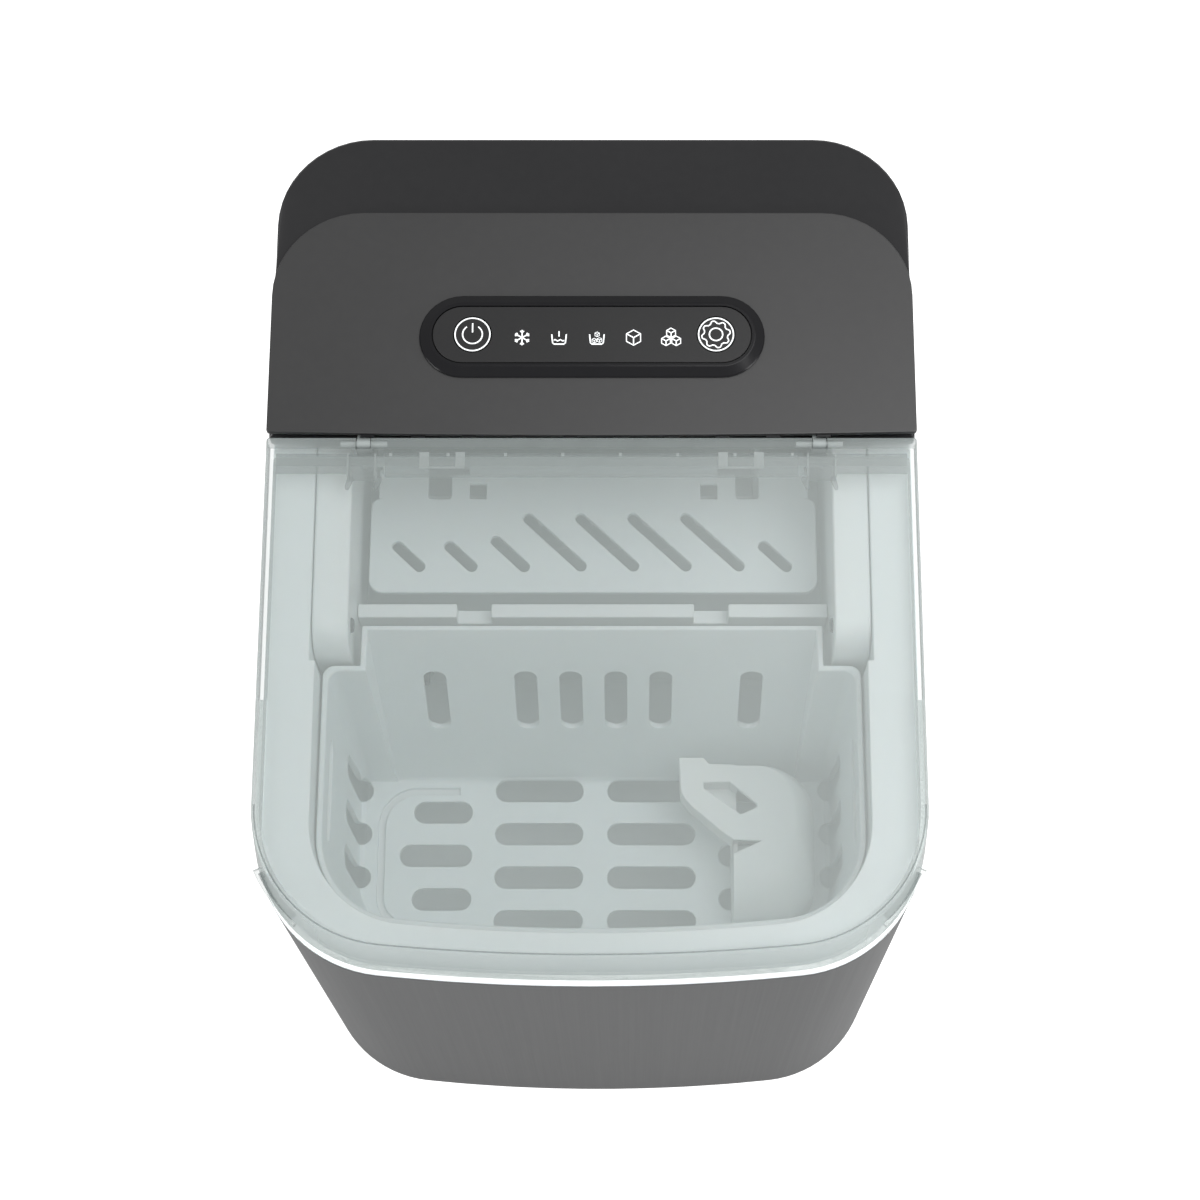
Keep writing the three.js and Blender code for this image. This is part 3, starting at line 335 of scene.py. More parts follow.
# Sheet metal brushed one way, with long streaks and faint cross breaks.
def makeBrushedSheet():
    group, given, out = newGroup("brushedSheet", [
        ("Color", "NodeSocketColor", (0.3, 0.3, 0.3, 1)),
        ("Streak Color", "NodeSocketColor", (0.4, 0.4, 0.4, 1)),
        ("Roughness", "NodeSocketFloat", 0.35),
        ("Roughness Spread", "NodeSocketFloat", 0.2),
        ("Fine Scale", "NodeSocketFloat", 1.0),
    ], [("Color", "NodeSocketColor"), ("Roughness", "NodeSocketFloat"),
        ("Height", "NodeSocketFloat")])
    place = group.nodes.new("ShaderNodeTexCoord").outputs["Object"]
    fine = noise(group, stretch(group, place, (2600, 2600, 9)), given["Fine Scale"], 3.0)
    broad = noise(group, stretch(group, place, (420, 420, 4)), given["Fine Scale"], 4.0)
    cloud = noise(group, place, 9.0, 2.0)
    streak = mathNode(group, "MULTIPLY", mathNode(group, "ADD", fine, broad), 0.5)
    share = mathNode(group, "MULTIPLY", mathNode(group, "ADD", streak, cloud), 0.5)
    group.links.new(mixColor(group, share, given["Color"], given["Streak Color"]), out["Color"])
    spread = mathNode(group, "MULTIPLY", mathNode(group, "SUBTRACT", streak, 0.5),
                      given["Roughness Spread"])
    group.links.new(mathNode(group, "ADD", given["Roughness"], spread), out["Roughness"])
    group.links.new(streak, out["Height"])
    return group


mouldedSkin = makeMouldedSkin()
brushedSheet = makeBrushedSheet()


def finish(name, effect, bump, shader, **inputs):
    material = bpy.data.materials.new(name)
    material.use_nodes = True
    tree = material.node_tree
    surface = tree.nodes["Principled BSDF"]
    skin = tree.nodes.new("ShaderNodeGroup")
    skin.node_tree = effect
    for key, value in inputs.items():
        label = "".join(" " + c if c.isupper() else c for c in key).title()
        skin.inputs[label].default_value = (*value, 1) if isinstance(value, tuple) else value
    tree.links.new(skin.outputs["Color"], surface.inputs["Base Color"])
    tree.links.new(skin.outputs["Roughness"], surface.inputs["Roughness"])
    relief = tree.nodes.new("ShaderNodeBump")
    relief.inputs["Strength"].default_value = bump[0]
    relief.inputs["Distance"].default_value = bump[1] * mm
    tree.links.new(skin.outputs["Height"], relief.inputs["Height"])
    tree.links.new(relief.outputs["Normal"], surface.inputs["Normal"])
    for key, value in shader.items():
        surface.inputs[key].default_value = value
    return material


# Moulded, painted and plated finishes: bump strength and depth, colours, roughness and its spread,
# then what else differs.
moulded = {
    "glossBlack": ((0.05, 0.02), (0.010, 0.010, 0.011), (0.014, 0.014, 0.015), 0.14, 0.05,
        {"grainScale": 900.0, "dust": 0.004}, {"Specular IOR Level": 0.32}),
    "satinCover": ((0.3, 0.02), (0.016, 0.016, 0.0165), (0.020, 0.020, 0.0205), 0.40, 0.06,
        {"grainScale": 2600.0, "dust": 0.006}, {"Specular IOR Level": 0.45}),
    "panelFilm": ((0.04, 0.01), (0.006, 0.006, 0.007), (0.008, 0.008, 0.009), 0.22, 0.05,
        {"dust": 0.002}, {"Specular IOR Level": 0.14}),
    "touchGlass": ((0.04, 0.01), (0.012, 0.012, 0.0125), (0.015, 0.015, 0.0155), 0.3, 0.06,
        {"dust": 0.002}, {"Specular IOR Level": 0.25}),
    "whiteLiner": ((0.12, 0.02), (0.84, 0.88, 0.88), (0.81, 0.85, 0.85), 0.38, 0.1,
        {"dust": 0.0}, {"Subsurface Weight": 0.08}),
    "basketWhite": ((0.15, 0.02), (0.80, 0.84, 0.84), (0.77, 0.81, 0.81), 0.48, 0.12,
        {"dust": 0.0}, {"Subsurface Weight": 0.12}),
    "scoopWhite": ((0.1, 0.02), (0.80, 0.835, 0.83), (0.77, 0.81, 0.80), 0.4, 0.1,
        {"dust": 0.0}, {"Subsurface Weight": 0.08}),
    "blackRubber": ((0.5, 0.05), (0.016, 0.016, 0.016), (0.028, 0.027, 0.026), 0.8, 0.2,
        {"grainScale": 1400.0, "dust": 0.03}, {}),
    "zincPlate": ((0.2, 0.02), (0.55, 0.57, 0.58), (0.48, 0.50, 0.50), 0.35, 0.25,
        {"cloudScale": 90.0}, {"Metallic": 1.0}),
    "nickelPlate": ((0.1, 0.01), (0.66, 0.65, 0.62), (0.58, 0.57, 0.54), 0.22, 0.15,
        {"cloudScale": 60.0}, {"Metallic": 1.0}),
    "copperTube": ((0.1, 0.01), (0.72, 0.36, 0.21), (0.50, 0.24, 0.14), 0.3, 0.25,
        {"cloudScale": 70.0}, {"Metallic": 1.0}),
    "finAluminium": ((0.15, 0.02), (0.70, 0.71, 0.72), (0.62, 0.63, 0.65), 0.36, 0.2,
        {"cloudScale": 50.0}, {"Metallic": 1.0}),
    "blackEnamel": ((0.35, 0.08), (0.020, 0.021, 0.022), (0.032, 0.033, 0.034), 0.38, 0.12,
        {"grainScale": 500.0, "dust": 0.02}, {"Coat Weight": 0.15}),
    "panPlastic": ((0.4, 0.05), (0.030, 0.030, 0.031), (0.044, 0.044, 0.045), 0.6, 0.15,
        {"grainScale": 1100.0, "dust": 0.02}, {}),
    "circuitGreen": ((0.3, 0.05), (0.012, 0.10, 0.040), (0.02, 0.15, 0.06), 0.4, 0.2,
        {"cloudScale": 320.0}, {"Coat Weight": 0.3}),
    "whiteFoam": ((0.8, 0.4), (0.80, 0.79, 0.74), (0.70, 0.69, 0.64), 0.9, 0.1, {"grainScale": 330.0}, {}),
    "milkyHose": ((0.05, 0.02), (0.66, 0.70, 0.68), (0.58, 0.62, 0.60), 0.3, 0.1,
        {}, {"Subsurface Weight": 0.2}),
    "iconWhite": ((0.05, 0.01), (0.86, 0.88, 0.88), (0.80, 0.82, 0.82), 0.5, 0.1,
        {}, {"Emission Color": (0.9, 0.95, 1, 1), "Emission Strength": 0.25}),
    # Painted highlight: near-white with a faint glow, for the lit bottom edge of the clear lid skirt.
    "paintedRimHighlight": ((0.03, 0.02), (0.88, 0.92, 0.91), (0.85, 0.89, 0.88), 0.2, 0.05,
        {"dust": 0.0}, {"Emission Color": (0.95, 1, 1, 1), "Emission Strength": 0.12}),
    "hingeGrey": ((0.1, 0.02), (0.12, 0.15, 0.147), (0.10, 0.13, 0.127), 0.45, 0.1,
        {"dust": 0.0}, {"Alpha": 0.34}),
    "hingePale": ((0.1, 0.02), (0.42, 0.46, 0.455), (0.38, 0.42, 0.415), 0.45, 0.1,
        {"dust": 0.0}, {"Alpha": 0.5}),
}
finishes = {}
for name, (bump, color, shade, rough, spread, extra, shader) in moulded.items():
    finishes[name] = finish(name, mouldedSkin, bump, shader, color=color, shadeColor=shade,
                            roughness=rough, roughnessSpread=spread, **extra)
finishes["brushedWrap"] = finish(
    "brushedWrap", brushedSheet, (0.2, 0.02), {"Metallic": 0.85, "Specular Tint": (0.5, 0.5, 0.5, 1)},
    color=(0.172, 0.174, 0.176), streakColor=(0.187, 0.189, 0.192),
    roughness=0.36, roughnessSpread=0.16)


# Clear moulding: thin tinted plastic, denser where it is seen edge on.
def makeClearLid():
    tint = {"face": 0.28, "edge": 0.92, "color": (0.42, 0.465, 0.455), "edgeShade": 0.42}
    material = finish("clearLid", mouldedSkin, (0.03, 0.02), {"IOR": 1.49, "Specular IOR Level": 0.3},
                      color=tint["color"], shadeColor=tuple(c * 0.96 for c in tint["color"]),
                      roughness=0.16, roughnessSpread=0.05, dust=0.0)
    tree = material.node_tree
    rim = addNode(tree, "ShaderNodeLayerWeight", Blend=0.35).outputs["Facing"]
    ramp = addNode(tree, "ShaderNodeMapRange", Value=rim, From_Min=0.15, From_Max=0.85,
                   To_Min=tint["face"], To_Max=tint["edge"])
    surface = tree.nodes["Principled BSDF"]
    tree.links.new(ramp.outputs[0], surface.inputs["Alpha"])
    # Painted shade: the colour is darkened where the plastic is seen edge on, standing in for the dark edges that
    # refraction gives clear plastic.
    shade = addNode(tree, "ShaderNodeMapRange", Value=rim, From_Min=0.3, From_Max=0.85,
                    To_Min=1.0, To_Max=tint["edgeShade"])
    edgeShading = tree.nodes.new("ShaderNodeVectorMath")
    edgeShading.operation = "SCALE"
    tree.links.new(surface.inputs["Base Color"].links[0].from_socket, edgeShading.inputs[0])
    tree.links.new(shade.outputs[0], edgeShading.inputs["Scale"])
    tree.links.new(edgeShading.outputs[0], surface.inputs["Base Color"])
    return material


finishes["clearLid"] = makeClearLid()
print("materials ready")


# A row of one unit, step by step from a first place.
def makeRowTree():
    tree = bpy.data.node_groups.new("unitRow", "GeometryNodeTree")
    for label, kind in (("Unit", "NodeSocketObject"), ("Count", "NodeSocketInt"),
                        ("First", "NodeSocketVector"), ("Step", "NodeSocketVector"),
                        ("Finish", "NodeSocketMaterial")):
        tree.interface.new_socket(label, in_out="INPUT", socket_type=kind)
    tree.interface.new_socket("Geometry", in_out="OUTPUT", socket_type="NodeSocketGeometry")
    given = tree.nodes.new("NodeGroupInput").outputs
    line = addNode(tree, "GeometryNodeMeshLine", {"mode": "OFFSET"}, Count=given["Count"],
                   Start_Location=given["First"], Offset=given["Step"])
    unit = addNode(tree, "GeometryNodeObjectInfo", Object=given["Unit"])
    copies = addNode(tree, "GeometryNodeInstanceOnPoints", Points=line.outputs[0],
                     Instance=unit.outputs["Geometry"])
    real = addNode(tree, "GeometryNodeRealizeInstances", Geometry=copies.outputs[0])
    painted = addNode(tree, "GeometryNodeSetMaterial", Geometry=real.outputs[0],
                      Material=given["Finish"])
    leave = tree.nodes.new("NodeGroupOutput")
    tree.links.new(painted.outputs[0], leave.inputs[0])
    return tree


rowTree = makeRowTree()


def row(name, unit, count, first, step, material):
    piece = meshPiece(name, [(0, 0, 0)], [])
    repeat = piece.modifiers.new("row", "NODES")
    repeat.node_group = rowTree
    values = {"Unit": unit, "Count": count, "First": [v * mm for v in first],
              "Step": [v * mm for v in step], "Finish": finishes[material]}
    for item in rowTree.interface.items_tree:
        if item.in_out == "INPUT":
            repeat[item.identifier] = values[item.name]
    plain(piece)
    bpy.data.objects.remove(unit)
    return piece


# One mesh out of several, which keep their places.
def merged(name, parts):
    work = bmesh.new()
    for part in parts:
        work.from_mesh(part.data)
    mesh = bpy.data.meshes.new(name)
    work.to_mesh(mesh)
    work.free()
    for part in parts:
        bpy.data.objects.remove(part)
    piece = bpy.data.objects.new(name, mesh)
    scene.collection.objects.link(piece)
    return piece


casePlan = {"half": caseHalf, "front": caseFront, "rear": caseRear, "corner": 45.3,
            "rearCorner": 33, "bow": 675}
wrap = {"wall": 2, "gapHalf": 75.1, "below": 15.6, "ventY": 88, "ventZ": 88, "ventCount": 8,
        "ventPitch": 10, "ventLength": 62, "ventWidth": 4.5, "hem": 0.45}


def makeWrap():
    bottom = shellLow.z
    outer = planOutline(casePlan)
    inner = planOutline(casePlan, wrap["wall"])
    skin = loft("outer", [atHeight(outer, bottom), toPlane(outer, wrap["below"])])
    space = loft("space", [atHeight(inner, bottom - 5), atHeight(inner, shellHigh.z + 20)])
    gap = block("gap", -wrap["gapHalf"], wrap["gapHalf"], caseRear - 10, caseRear + 10,
                bottom - 10, shellHigh.z + 20)
    vents = []
    first = wrap["ventY"] - wrap["ventPitch"] * (wrap["ventCount"] - 1) / 2
    for i in range(wrap["ventCount"]):
        slot = pill(first + i * wrap["ventPitch"], wrap["ventZ"], wrap["ventLength"],
                    wrap["ventWidth"], 90)
        vents.append(acrossX("vent", slot, -caseHalf - 20, caseHalf + 20))
    piece = shaped(skin, cuts=[space, gap, *vents])
    piece.name = "case_wrap"
    softened(tidyFaces(piece), wrap["hem"], 3)
    return settle(piece, "brushedWrap", "brushed_wrap", "case", "body_shell")


makeWrap()


# Black ring between the steel wrap and the white liner flange: painted shadow, put where the gap under the lid
# lies in shade.
seamShadeRing = {"low": 15.55, "high": 14.75, "outer": 0.35, "inner": 3}


def makeSeamShadeRing():
    outline, inner = planOutline(casePlan, seamShadeRing["outer"]), planOutline(casePlan, seamShadeRing["inner"])
    body = loft("body", [toPlane(outline, seamShadeRing["low"]), toPlane(outline, seamShadeRing["high"])])
    space = loft("space", [atHeight(inner, shellLow.z), atHeight(inner, shellHigh.z + 20)])
    piece = shaped(body, cuts=[space])
    piece.name = "top_gasket"
    return settle(tidyFaces(piece), "blackRubber", "rubber", "case", angle=25)


makeSeamShadeRing()

# Slanting blades behind the side vents.
louvre = {"out": 107.6, "depth": 3.4, "thick": 0.9, "pitch": 5.2, "count": 12, "length": 79,
          "frame": 2.2, "slant": 1.9, "back": 1.2}


def makeLouvres(side):
    out, deep = louvre["out"], louvre["depth"]
    start = wrap["ventZ"] - louvre["pitch"] * (louvre["count"] - 1) / 2
    y0 = wrap["ventY"] - louvre["length"] / 2
    slant, thick = louvre["slant"], louvre["thick"]
    blade = [(side * out, 0), (side * (out - deep), slant), (side * (out - deep), slant + thick),
             (side * out, thick)]
    unit = alongY("blade", blade, y0, y0 + louvre["length"])
    blades = row("blades", unit, louvre["count"], (0, 0, start), (0, 0, louvre["pitch"]), "panPlastic")
    y1 = y0 + louvre["length"]
    low, high = start - 4, start + louvre["pitch"] * (louvre["count"] - 1) + 6
    rails = []
    x0, x1 = sorted((side * (out - deep - louvre["back"]), side * (out - louvre["back"])))
    for y in (y0 - louvre["frame"], y1, wrap["ventY"] - 1):
        rails.append(block("rail", x0, x1, y, y + louvre["frame"], low, high))
    piece = merged("side_louvre_" + ("right" if side > 0 else "left"), [blades, *rails])
    return settle(piece, "panPlastic", "pan_black", "case")


makeLouvres(-1)
makeLouvres(1)
print("wrap and louvres")

rearPanel = {"half": 74.7, "slotX": (-33, 33), "slotRows": 8, "slotPitch": 14,
             "slotStart": 62, "slotLength": 50, "slotWidth": 5, "screwX": 68,
             "screwZ": (16, 216), "screwSeat": 3.6, "seatDepth": 2.1, "screwBore": 1.9, "edge": 0.5,
             "holes": {"cord_gland": 6.3, "drain_spout": 10.3},
             "fieldHalf": 66, "fieldZ": (52, 170), "fieldDepth": 0.8}


def makeRearPanel():
    low, high = corners("rear_panel")
    half = rearPanel["half"]
    plan = [(-half, low.y), (-half, high.y), (half, high.y), (half, low.y)]
    plate = loft("plate", [atHeight(plan, low.z), toPlane(plan, wrap["below"])])
    cuts = []
    for x in rearPanel["slotX"]:
        for i in range(rearPanel["slotRows"]):
            slot = pill(x, rearPanel["slotStart"] + i * rearPanel["slotPitch"],
                        rearPanel["slotLength"], rearPanel["slotWidth"])
            cuts.append(alongY("slot", slot, low.y - 5, high.y + 5))
    for node, radius in rearPanel["holes"].items():
        near, far = corners(node)
        middle = (near + far) / 2
        cuts.append(rod("hole", "y", radius, middle.x, low.y - 5, middle.z, 20, 48))
    for x in (-rearPanel["screwX"], rearPanel["screwX"]):
        for z in rearPanel["screwZ"]:
            cuts.append(rod("seat", "y", rearPanel["screwSeat"], x, high.y - rearPanel["seatDepth"], z, 5))
            cuts.append(rod("bore", "y", rearPanel["screwBore"], x, low.y - 5, z, 20))
    # Raised border and a shallow field round the grille.
    side, (bottom, crown) = rearPanel["fieldHalf"], rearPanel["fieldZ"]
    field = alongY("field", [(-side, bottom), (side, bottom), (side, crown), (-side, crown)],
                   high.y - rearPanel["fieldDepth"], high.y + 2)
    piece = shaped(plate, cuts=[field, *cuts])
    piece.name = "rear_cover"
    softened(tidyFaces(piece), rearPanel["edge"], 2)
    return settle(piece, "glossBlack", "gloss_black", "case", "rear_panel")


makeRearPanel()


# Domed heads with a cross recess, one at each corner of the rear panel.
def makeScrews():
    rings = [arc(0, 0, r, 0, 360, 24)[:-1] for r in (3.1, 3.1, 2.7, 1.9, 0.8)]
    depths = (0.0, 0.7, 1.2, 1.5, 1.6)
    head = loft("head", [[(x, d, z) for x, z in ring] for ring, d in zip(rings, depths)])
    cuts = [block("bar", -1.7, 1.7, 0.7, 3, -0.32, 0.32), block("bar", -0.32, 0.32, 0.7, 3, -1.7, 1.7)]
    unit = shaped(head, joins=[rod("shank", "y", 1.5, 0, -12, 0, 12.3, 20)], cuts=cuts)
    spare = unit.copy()
    spare.data = unit.data.copy()
    scene.collection.objects.link(spare)
    low, high = corners("panel_screw_1")
    y = high.y - 1.6
    step = (0, 0, rearPanel["screwZ"][1] - rearPanel["screwZ"][0])
    rows = [row("screws", made, 2, (x, y, rearPanel["screwZ"][0]), step, "zincPlate")
            for made, x in ((unit, -rearPanel["screwX"]), (spare, rearPanel["screwX"]))]
    piece = merged("panel_screws", rows)
    return settle(piece, "zincPlate", "zinc", "case", *[f"panel_screw_{i}" for i in (1, 2, 3, 4)])


makeScrews()
print("rear panel")

liner = {"half": 93.2, "rearHalf": 95.2, "front": -132, "wall": 2.5, "floor": 64.5,
         "chamberFront": 6, "chamberRear": 112, "chamberFloor": 169, "flangeLow": 14.7,
         "flangeHigh": 12.7, "lipFront": -16, "lipHalf": 82.2, "lipTop": 211,
         # Ways through the wall for the hose, the refrigerant line, the intake and the drain.
         "ways": [(4.7, -70, 108, 236, 14), (3.5, -40, 108, 236, 14), (4.1, -70, 0, 76, 16),
                  (4.1, 54, 0, 72, 16)]}


def tubParts(grow, below):
    plan = {"half": liner["half"], "front": liner["front"], "rear": liner["chamberFront"],
            "corner": 34, "rearCorner": 4, "bow": 640}
    floor = liner["floor"] - grow
    rings = [atHeight(planOutline(plan, 5 - grow), floor),
             atHeight(planOutline(plan, 1.6 - grow), floor + 1.6),
             atHeight(planOutline(plan, -grow), floor + 5),
             toPlane(planOutline(plan, -grow), below)]
    front = loft("front", rings)
    half = liner["rearHalf"] + grow
    y0, y1 = -40 - grow, liner["chamberFront"] + grow
    rear = acrossX("rear", [(y0, 150 - grow), (y1, 150 - grow), (y1, underTop(y1, below)),
                            (y0, underTop(y0, below))], -half, half)
    start = liner["chamberFront"] + grow
    back = liner["chamberRear"] + grow
    chamber = acrossX("chamber", [
        (-20, 150 - grow), (start - 2, 136 - grow), (start + 1, 136 - grow),
        (26, liner["chamberFloor"] - 3 - grow), (back, liner["chamberFloor"] - grow),
        (back, underTop(back, below)), (-20, underTop(-20, below)),
    ], -half, half)
    return front, rear, chamber


def makeLiner():
    outline = planOutline(casePlan, 0.2)
    flange = loft("flange", [toPlane(outline, liner["flangeLow"]), toPlane(outline, liner["flangeHigh"])])
    holes = [rod("hole", "y", radius, x, y, z, length, 16)
             for radius, x, y, z, length in liner["ways"]]
    piece = shaped(flange, joins=tubParts(liner["wall"], liner["flangeHigh"]),
                   cuts=[*tubParts(0, -30), *holes])
    y0 = liner["lipFront"]
    lower = block("lip", -liner["rearHalf"] - 1, liner["rearHalf"] + 1, y0, y0 + 5, 166, 177.7)
    upper = block("lip", -liner["lipHalf"], liner["lipHalf"], y0, y0 + 5, 170, liner["lipTop"])
    notches = [block("notch", x - 6, x + 6, y0 - 2, y0 + 8, 204, 220) for x in (-41.5, 41.5)]
    shaped(piece, joins=[lower, upper], cuts=notches)
    piece.name = "tub_liner"
    softened(tidyFaces(piece), 0.5, 3)
    return settle(piece, "whiteLiner", "white_liner", "case", "inner_liner")


makeLiner()
print("liner")

pillar = {"below": 13.4, "roundY": -24, "roundZ": 223.5, "across": 11.5}


def makePillar(side):
    node = "pillar_right" if side > 0 else "pillar_left"
    low, high = corners(node)
    rear, bottom = high.y, low.z
    roundY, roundZ = pillar["roundY"], pillar["roundZ"]
    up = underTop(roundY, pillar["below"]) - roundZ
    face = [(rear, bottom), (rear, underTop(rear, pillar["below"]))]
    for i in range(13):
        turn = math.radians(90 + 7.5 * i)
        face.append((roundY + pillar["across"] * math.cos(turn), roundZ + up * math.sin(turn)))
    face += [(low.y, bottom + 12), (roundY, bottom)]
    inner = high.x if side < 0 else low.x
    holes = [rod("hub", "x", 4.4, inner - 4 if side > 0 else inner - 4.6, 66, 214, 8.6),
             rod("pin", "x", 2.3, inner - 5, 44, 206, 10),
             rod("eye", "x", 3, inner - 6, -24, 226, 12)]
    piece = shaped(acrossX("pillar", face, low.x, high.x), cuts=holes)
    piece.name = "side_" + node
    softened(tidyFaces(piece), 0.9, 3)
    settle(piece, "whiteLiner", "white_liner", "case", node)
    eyeNode = "ice_sensor_right" if side > 0 else "ice_sensor_left"
    eyeLow, eyeHigh = corners(eyeNode)
    middle = (eyeLow + eyeHigh) / 2
    radius = (eyeHigh.z - eyeLow.z) / 2
    steps = [(0, 1), (0.85, 1), (0.96, 0.85), (1, 0.5)]
    if side > 0:
        steps = [(1 - along, wide) for along, wide in reversed(steps)]
    rings = []
    for along, wide in steps:
        x = eyeLow.x + (eyeHigh.x - eyeLow.x) * along
        rings.append([(x, middle.y + a, middle.z + b) for a, b in arc(0, 0, radius * wide, 0, 360, 32)[:-1]])
    lens = loft("sensor_lens_" + ("right" if side > 0 else "left"), rings)
    settle(lens, "panelFilm", "gloss_black", "case", eyeNode)


makePillar(-1)
makePillar(1)
print("pillars")

basket = {
    "top": {"half": 92.3, "front": -130.5, "corner": 30, "bow": 640, "stepY": -37,
            "narrow": 79.5, "rear": -22.5},
    "bottom": {"half": 90.3, "front": -119, "corner": 26, "bow": 640, "stepY": -49.4,
               "narrow": 77, "rear": -48.8},
    "wall": 2, "slotWidth": 8.4, "pitch": 16.6, "firstY": -55.5, "grooveDepth": 1.75, "climbTop": 163,
}


def basketOutline(z, inset):
    low, high = corners("ice_basket")
    share = (z - low.z - basket["wall"]) / (high.z - low.z - basket["wall"])
    at = {key: basket["bottom"][key] + (basket["top"][key] - basket["bottom"][key]) * share
          for key in basket["top"]}
    half, narrow = at["half"] - inset, at["narrow"] - inset
    corner, front, bow = at["corner"] - inset, at["front"] + inset, at["bow"] - inset
    tilt = math.degrees(math.asin((half - corner) / (bow - corner)))
    cornerY = front + bow - (bow - corner) * math.cos(math.radians(tilt))
    stepY, rear, shoulder = at["stepY"] - inset, at["rear"] - inset, 4
    points = arc(0, front + bow, bow, -90 - tilt, -90 + tilt, 20)
    points += arc(half - corner, cornerY, corner, -90 + tilt, 0, 16)[1:]
    points += arc(half - shoulder, stepY - shoulder, shoulder, 0, 90, 6)
    points += [(narrow, stepY), (narrow, rear), (-narrow, rear), (-narrow, stepY)]
    points += arc(shoulder - half, stepY - shoulder, shoulder, 90, 180, 6)
    points += arc(corner - half, cornerY, corner, 180, 270 - tilt, 16)[:-1]
    return points


def ribbon(points, width, closed=False):
    left, right = [], []
    count = len(points)
    for i, (x, y) in enumerate(points):
        before = points[i - 1] if i or closed else points[i]
        after = points[(i + 1) % count] if i + 1 < count or closed else points[i]
        along = Vector((after[0] - before[0], after[1] - before[1])).normalized()
        left.append((x - along.y * width / 2, y + along.x * width / 2))
        right.append((x + along.y * width / 2, y - along.x * width / 2))
    return left, right


def strip(name, points, width, low, high, closed=False):
    left, right = ribbon(points, width, closed)
    if not closed:
        return prism(name, left + right[::-1], low, high)
    rings = []
    for i in range(len(points)):
        a, b = left[i], right[i]
        rings.append([(a[0], a[1], low), (b[0], b[1], low), (b[0], b[1], high), (a[0], a[1], high)])
    verts = [point for ring in rings for point in ring]
    faces = []
    for i in range(len(rings)):
        for k in range(4):
            a, b = i * 4 + k, i * 4 + (k + 1) % 4
            shift = ((i + 1) % len(rings)) * 4
            faces.append((a, b, shift + (k + 1) % 4, shift + k))
    return meshPiece(name, verts, faces)


def makeBasket():
    low, high = corners("ice_basket")
    floor = low.z + basket["wall"]
    outer = loft("outer", [atHeight(basketOutline(z, inset), z) for z, inset in (
        (low.z, 1.6), (low.z + 0.5, 0.7), (low.z + 1.6, 0.1), (low.z + 4, 0), (high.z - 0.4, 0),
        (high.z, 0.5))])
    wall = basket["wall"]
    inner = loft("inner", [atHeight(basketOutline(z, wall + inset), z) for z, inset in (
        (floor, 2.4), (floor + 0.7, 0.8), (floor + 2.4, 0.05), (floor + 8, 0),
        (high.z - 0.5, 0), (high.z + 0.1, -0.5), (high.z + 3, -0.5))])
    cuts = [inner]
    firstY, pitch, width = basket["firstY"], basket["pitch"], basket["slotWidth"]
    for side in (-1, 1):
        for i in range(4):
            cuts.append(prism("slot", pill(side * 21, firstY - i * pitch, 33, width), low.z - 5, floor + 5))
        for i, length in enumerate((22, 27, 22)):
            cuts.append(prism("slot", pill(side * (46 + length / 2), firstY - (i + 0.5) * pitch,
                                           length, width), low.z - 5, floor + 5))
        for i in range(3):
            # A round hole at the foot of the wall and a slot that climbs from it.
            y = firstY - i * pitch
            cuts.append(prism("key", pill(side * 95.2, y, 23.4, width), low.z - 5, floor + 5))
            crown = basket["climbTop"] - width / 2
            climb = [(y - width / 2, floor - 6), *arc(y, crown, width / 2, 180, 0, 10),
                     (y + width / 2, floor - 6)]
            cuts.append(acrossX("climb", climb, *sorted((side * 87.8, side * 99))))
        cuts.append(acrossX("grip", pill(-77, 206, 36, 8), *sorted((side * 84, side * 99))))
    for x in (-56.2, -24, -8, 8, 24, 56.2):
        cuts.append(alongY("slot", pill(x, 178, 37, 8, 90), -68, -20))
    # A shallow guide line round the left floor slots.
    route = [(-50.9, -55.6), *arc(-66.5, -69, 13.4, 90, 180, 10), *arc(-68.5, -96, 11.4, 180, 270, 10),
             (-51, -107.4)]
    cuts.append(strip("groove", route, 2.7, floor - basket["grooveDepth"], floor + 3))
    piece = shaped(outer, cuts=cuts)
    piece.name = "slotted_basket"
    tidyFaces(piece)
    softened(piece, 0.35, 2, 50)
    return settle(piece, "basketWhite", "basket_white", "basket", "ice_basket")


makeBasket()
print("basket")

scoop = {
    "left": 50.5, "frontRoll": 21, "wall": 2, "steps": 7, "crownRound": 14,
    "handle": [(31, 3), (40, 3), (42, 0.6), (51.5, 0.4), (51.5, -28.5), (47, -25.4), (35.5, -15.5),
               (33, -12.6), (31.6, -10)],
    "window": [(39.9, -6.6), (49.6, -6.4), (59.5, -14.8), (59.2, -15.8), (53.5, -18.4), (40.1, -8.6)],
    "valley": [(50.2, -33.2), (60.6, -28.4), (50.2, -28.0)],
}


